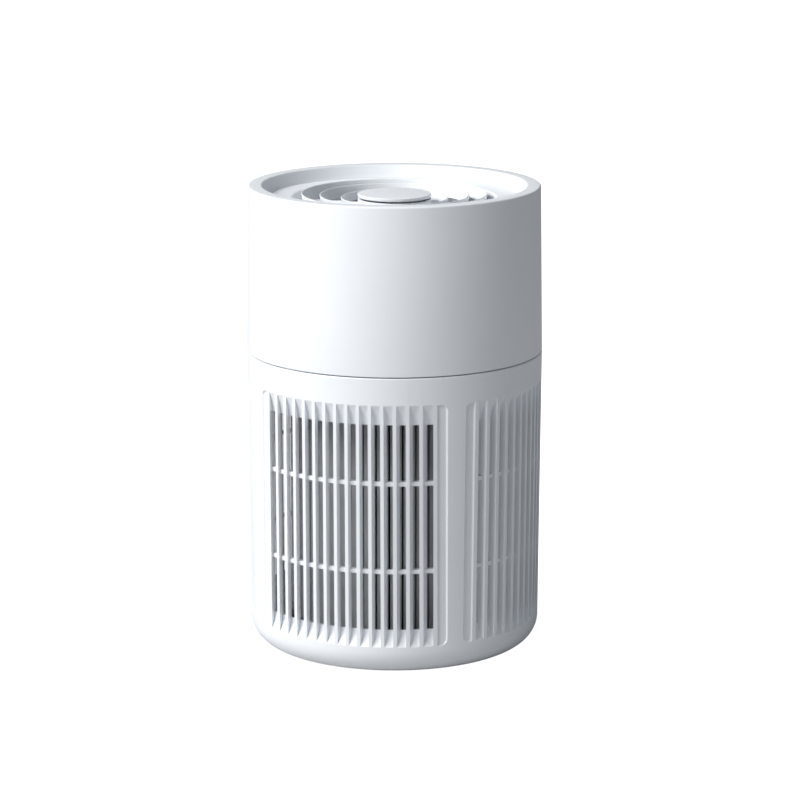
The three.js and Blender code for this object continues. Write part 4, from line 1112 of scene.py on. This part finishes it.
def cloth_finish():
    """Pale filter cloth, matted with dark fibres."""
    material = finish("filter cloth", (0.8, 0.81, 0.83), 0.95, drift=0.12, grain=(4200.0, 0.9), size=60.0,
                      specular=0.1)
    tree = material.node_tree
    where = node(tree, "TexCoord").outputs["Object"]
    fibres = noise(tree, where, 1250.0, 4.0, 0.7)
    share = node(tree, "MapRange", {"Value": fibres, "From Min": 0.42, "From Max": 0.58}).outputs[0]
    shader = principled(material)
    tint = shader.inputs["Base Color"].links[0].from_socket
    tree.links.new(mix(tree, share, (0.12, 0.122, 0.126, 1.0), tint), shader.inputs["Base Color"])
    return material


NET_COUNT = 190  # threads round the filter
NET_PITCH = 1.7  # millimetres of height between threads
THREAD_SHARE = 0.42  # of the net that is thread, one way
NET_WANDER = 0.5


def net_finish():
    """Pale cloth under a fine net of dark crossed threads."""
    material = finish("filter net", (0.78, 0.79, 0.81), 0.85, drift=0.1, size=40.0)
    tree = material.node_tree
    whole = node(tree, "TexCoord").outputs["Object"]
    where = node(tree, "SeparateXYZ", {0: whole}).outputs
    angle = math_node(tree, "ARCTAN2", where["Y"], where["X"])
    turn = math_node(tree, "MULTIPLY", angle, NET_COUNT / (2 * math.pi))
    climb = math_node(tree, "MULTIPLY", where["Z"], 1 / (NET_PITCH * MM))
    wander = math_node(tree, "MULTIPLY", noise(tree, whole, 320.0), NET_WANDER)
    threads = []
    for operation, share in (("ADD", THREAD_SHARE), ("SUBTRACT", THREAD_SHARE / 3)):
        path = math_node(tree, "ADD", math_node(tree, operation, turn, climb), wander)
        threads.append(math_node(tree, "LESS_THAN", math_node(tree, "FRACT", path), share))
    shader = principled(material)
    tint = shader.inputs["Base Color"].links[0].from_socket
    thread = math_node(tree, "MAXIMUM", *threads)
    tree.links.new(mix(tree, thread, tint, (0.03, 0.031, 0.033, 1.0)), shader.inputs["Base Color"])
    return material


def carbon_finish():
    """Black granules."""
    material = finish("carbon granules", (0.012, 0.012, 0.013), 0.75, drift=0.3, size=300.0)
    tree = material.node_tree
    where = node(tree, "TexCoord").outputs["Object"]
    grains = node(tree, "TexVoronoi", {"Vector": where, "Scale": 700.0}).outputs["Distance"]
    bump = node(tree, "Bump", {"Height": grains, "Strength": 0.9, "Distance": 0.0007})
    tree.links.new(bump.outputs["Normal"], principled(material).inputs["Normal"])
    return material


def board_finish():
    """Green solder mask over faint tracks."""
    material = finish("circuit board", (0.02, 0.09, 0.05), 0.35, drift=0.08)
    tree = material.node_tree
    where = node(tree, "TexCoord").outputs["Object"]
    tracks = node(tree, "TexBrick", {
        "Vector": where, "Scale": 180.0, "Mortar Size": 0.03, "Color1": (0.0, 0.0, 0.0, 1.0),
        "Color2": (0.0, 0.0, 0.0, 1.0), "Mortar": (1.0, 1.0, 1.0, 1.0),
    }).outputs["Color"]
    shader = principled(material)
    tint = shader.inputs["Base Color"].links[0].from_socket
    tree.links.new(mix(tree, tracks, tint, (0.05, 0.2, 0.11, 1.0)), shader.inputs["Base Color"])
    return material


def lamination_finish():
    """A stack of thin iron plates."""
    material = finish("laminated iron", (0.12, 0.12, 0.13), 0.5, 0.9, drift=0.1)
    tree = material.node_tree
    height = node(tree, "SeparateXYZ", {0: node(tree, "TexCoord").outputs["Object"]}).outputs["Z"]
    plates = math_node(tree, "PINGPONG", math_node(tree, "MULTIPLY", height, 2000.0), 0.5)
    bump = node(tree, "Bump", {"Height": plates, "Strength": 0.6, "Distance": 0.0001})
    tree.links.new(bump.outputs["Normal"], principled(material).inputs["Normal"])
    return material


FINISHES = {
    "white_shell": finish("white shell", (0.865, 0.885, 0.91), 0.38, drift=0.012, grain=(1900.0, 0.16),
                          scratch=0.12, dust=0.03),
    "fan_plastic": finish("fan plastic", (0.56, 0.58, 0.61), 0.45, drift=0.02, grain=(2200.0, 0.2),
                          dust=0.12),
    "black_plastic": finish("black plastic", (0.03, 0.03, 0.034), 0.45, drift=0.08, grain=(2600.0, 0.3),
                            scratch=0.3, dust=0.1),
    "steel": finish("drawn steel", (0.5, 0.51, 0.53), 0.32, 1.0, drift=0.04, grain=(5200.0, 0.1),
                    scratch=0.5),
    "screw_zinc": finish("zinc plate", (0.42, 0.43, 0.45), 0.36, 1.0, drift=0.1, grain=(5200.0, 0.2),
                         scratch=0.4),
    "core_iron": lamination_finish(),
    "magnet": finish("sintered magnet", (0.05, 0.05, 0.058), 0.5, 0.6, drift=0.15, grain=(3600.0, 0.6)),
    "rubber": finish("matt rubber", (0.025, 0.025, 0.028), 0.8, drift=0.1, grain=(1800.0, 0.5),
                     dust=0.15, specular=0.3),
    "foam": finish("closed foam", (0.05, 0.05, 0.055), 0.95, drift=0.2, grain=(1500.0, 1.0), specular=0.15),
    "filter_cloth": cloth_finish(),
    "filter_net": net_finish(),
    "carbon": carbon_finish(),
    "board": board_finish(),
}

# Pieces of the CAD that are shown as they are, by finish
KEPT = {
    "board": ["main_board", "control_board"],
    "black_plastic": ["motor_lead", "switch_plunger"],
    "steel": ["tact_switch", "lower_bearing", "upper_bearing", "motor_shaft"],
    "core_iron": ["motor_stator"],
    "magnet": ["rotor_magnet"],
    "screw_zinc": ["impeller_nut", "board_screw_1", "board_screw_2"],
}

# ---- the object

place(lower_casing(), "casing", "white_shell", "lower_casing")
place(upper_casing(), "casing", "white_shell", "upper_casing")
place(outlet_deck(), "casing", "white_shell", "outlet_deck")
place(outlet_grille(), "casing", "white_shell", "outlet_grille")
place(control_button(), "button", "white_shell", "control_button")
place(base_cover(), "base_cover", "white_shell", "base_cover")
feet()
place(power_socket(), "casing", "black_plastic", "power_socket")
filter_parts()
place(fan_duct(), "casing", "fan_plastic", "fan_duct")
place(inlet_plate(), "casing", "fan_plastic", "inlet_plate")
place(impeller(), "impeller", "fan_plastic", "impeller")
motor_shell()
screws()
for slot_name, node_names in KEPT.items():
    for node_name in node_names:
        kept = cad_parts[node_name]
        kept.data.materials.clear()
        kept.data.materials.append(FINISHES[slot_name])

# ---- floor, light and camera


def stage_finish(name, colour, glow):
    """A plain white that looks the same to the camera however it is lit."""
    material = bpy.data.materials.new(name)
    material.use_nodes = True
    tree = material.node_tree
    shader = principled(material)
    shader.inputs["Base Color"].default_value = (*colour, 1.0)
    shader.inputs["Roughness"].default_value = 0.9
    shader.inputs["Specular IOR Level"].default_value = 0.0
    shader.inputs["Emission Color"].default_value = (1.0, 1.0, 1.0, 1.0)
    seen = node(tree, "LightPath").outputs["Is Camera Ray"]
    tree.links.new(math_node(tree, "MULTIPLY", seen, glow), shader.inputs["Emission Strength"])
    return material


GROUND_SIZE = 14
DIM_SKY = 0.25  # what lights the object
BRIGHT_SKY = 1.2  # what the camera sees

deselect()
bpy.ops.mesh.primitive_plane_add(size=GROUND_SIZE, location=(0, 0, 0))
ground = name_piece("floor")
ground.data.materials.append(stage_finish("floor white", (0.5, 0.5, 0.5), 1.0))

world = bpy.data.worlds.new("studio")
bpy.context.scene.world = world
world.use_nodes = True
sky = world.node_tree
dim = sky.nodes["Background"]
dim.inputs["Color"].default_value = (0.93, 1.0, 1.08, 1.0)
dim.inputs["Strength"].default_value = DIM_SKY
bright = node(sky, "Background", {"Color": (1.0, 1.0, 1.0, 1.0), "Strength": BRIGHT_SKY})
both = node(sky, "MixShader", {0: node(sky, "LightPath").outputs["Is Camera Ray"]})
sky.links.new(dim.outputs[0], both.inputs[1])
sky.links.new(bright.outputs[0], both.inputs[2])
sky.links.new(both.outputs[0], sky.nodes["World Output"].inputs["Surface"])

LIGHT_AIM = 0.13


def studio_light(name, azimuth, elevation, distance, width, height, power):
    """A soft panel of light that faces the middle of the object. Azimuth 0 is in front."""
    azimuth, elevation = math.radians(azimuth), math.radians(elevation)
    level = math.cos(elevation)
    away = Vector((math.sin(azimuth) * level, -math.cos(azimuth) * level, math.sin(elevation)))
    lamp = bpy.data.lights.new(name, "AREA")
    lamp.shape = "RECTANGLE"
    lamp.size = width
    lamp.size_y = height
    lamp.energy = power
    light = bpy.data.objects.new(name, lamp)
    bpy.context.collection.objects.link(light)
    light.location = Vector((0, 0, LIGHT_AIM)) + away * distance
    light.rotation_euler = away.to_track_quat("Z", "Y").to_euler()


studio_light("key", azimuth=-41, elevation=40, distance=4.0, width=3.0, height=1.6, power=202)

CAMERA_TURN = math.radians(20.8)
CAMERA_DISTANCE = 1.8087
CAMERA_HEIGHT = 0.5432
CAMERA_PITCH = math.radians(12.56)
FOCAL_LENGTH = 145.84
LENS_SHIFT = 0.0069

lens = bpy.data.cameras.new("camera")
lens.lens = FOCAL_LENGTH
lens.sensor_width = 36
lens.shift_x = LENS_SHIFT
camera = bpy.data.objects.new("camera", lens)
bpy.context.collection.objects.link(camera)
camera.location = (
    CAMERA_DISTANCE * math.sin(CAMERA_TURN), -CAMERA_DISTANCE * math.cos(CAMERA_TURN), CAMERA_HEIGHT,
)
camera.rotation_euler = (math.pi / 2 - CAMERA_PITCH, 0, CAMERA_TURN)
bpy.context.scene.camera = camera
bpy.context.scene.view_settings.view_transform = "Standard"
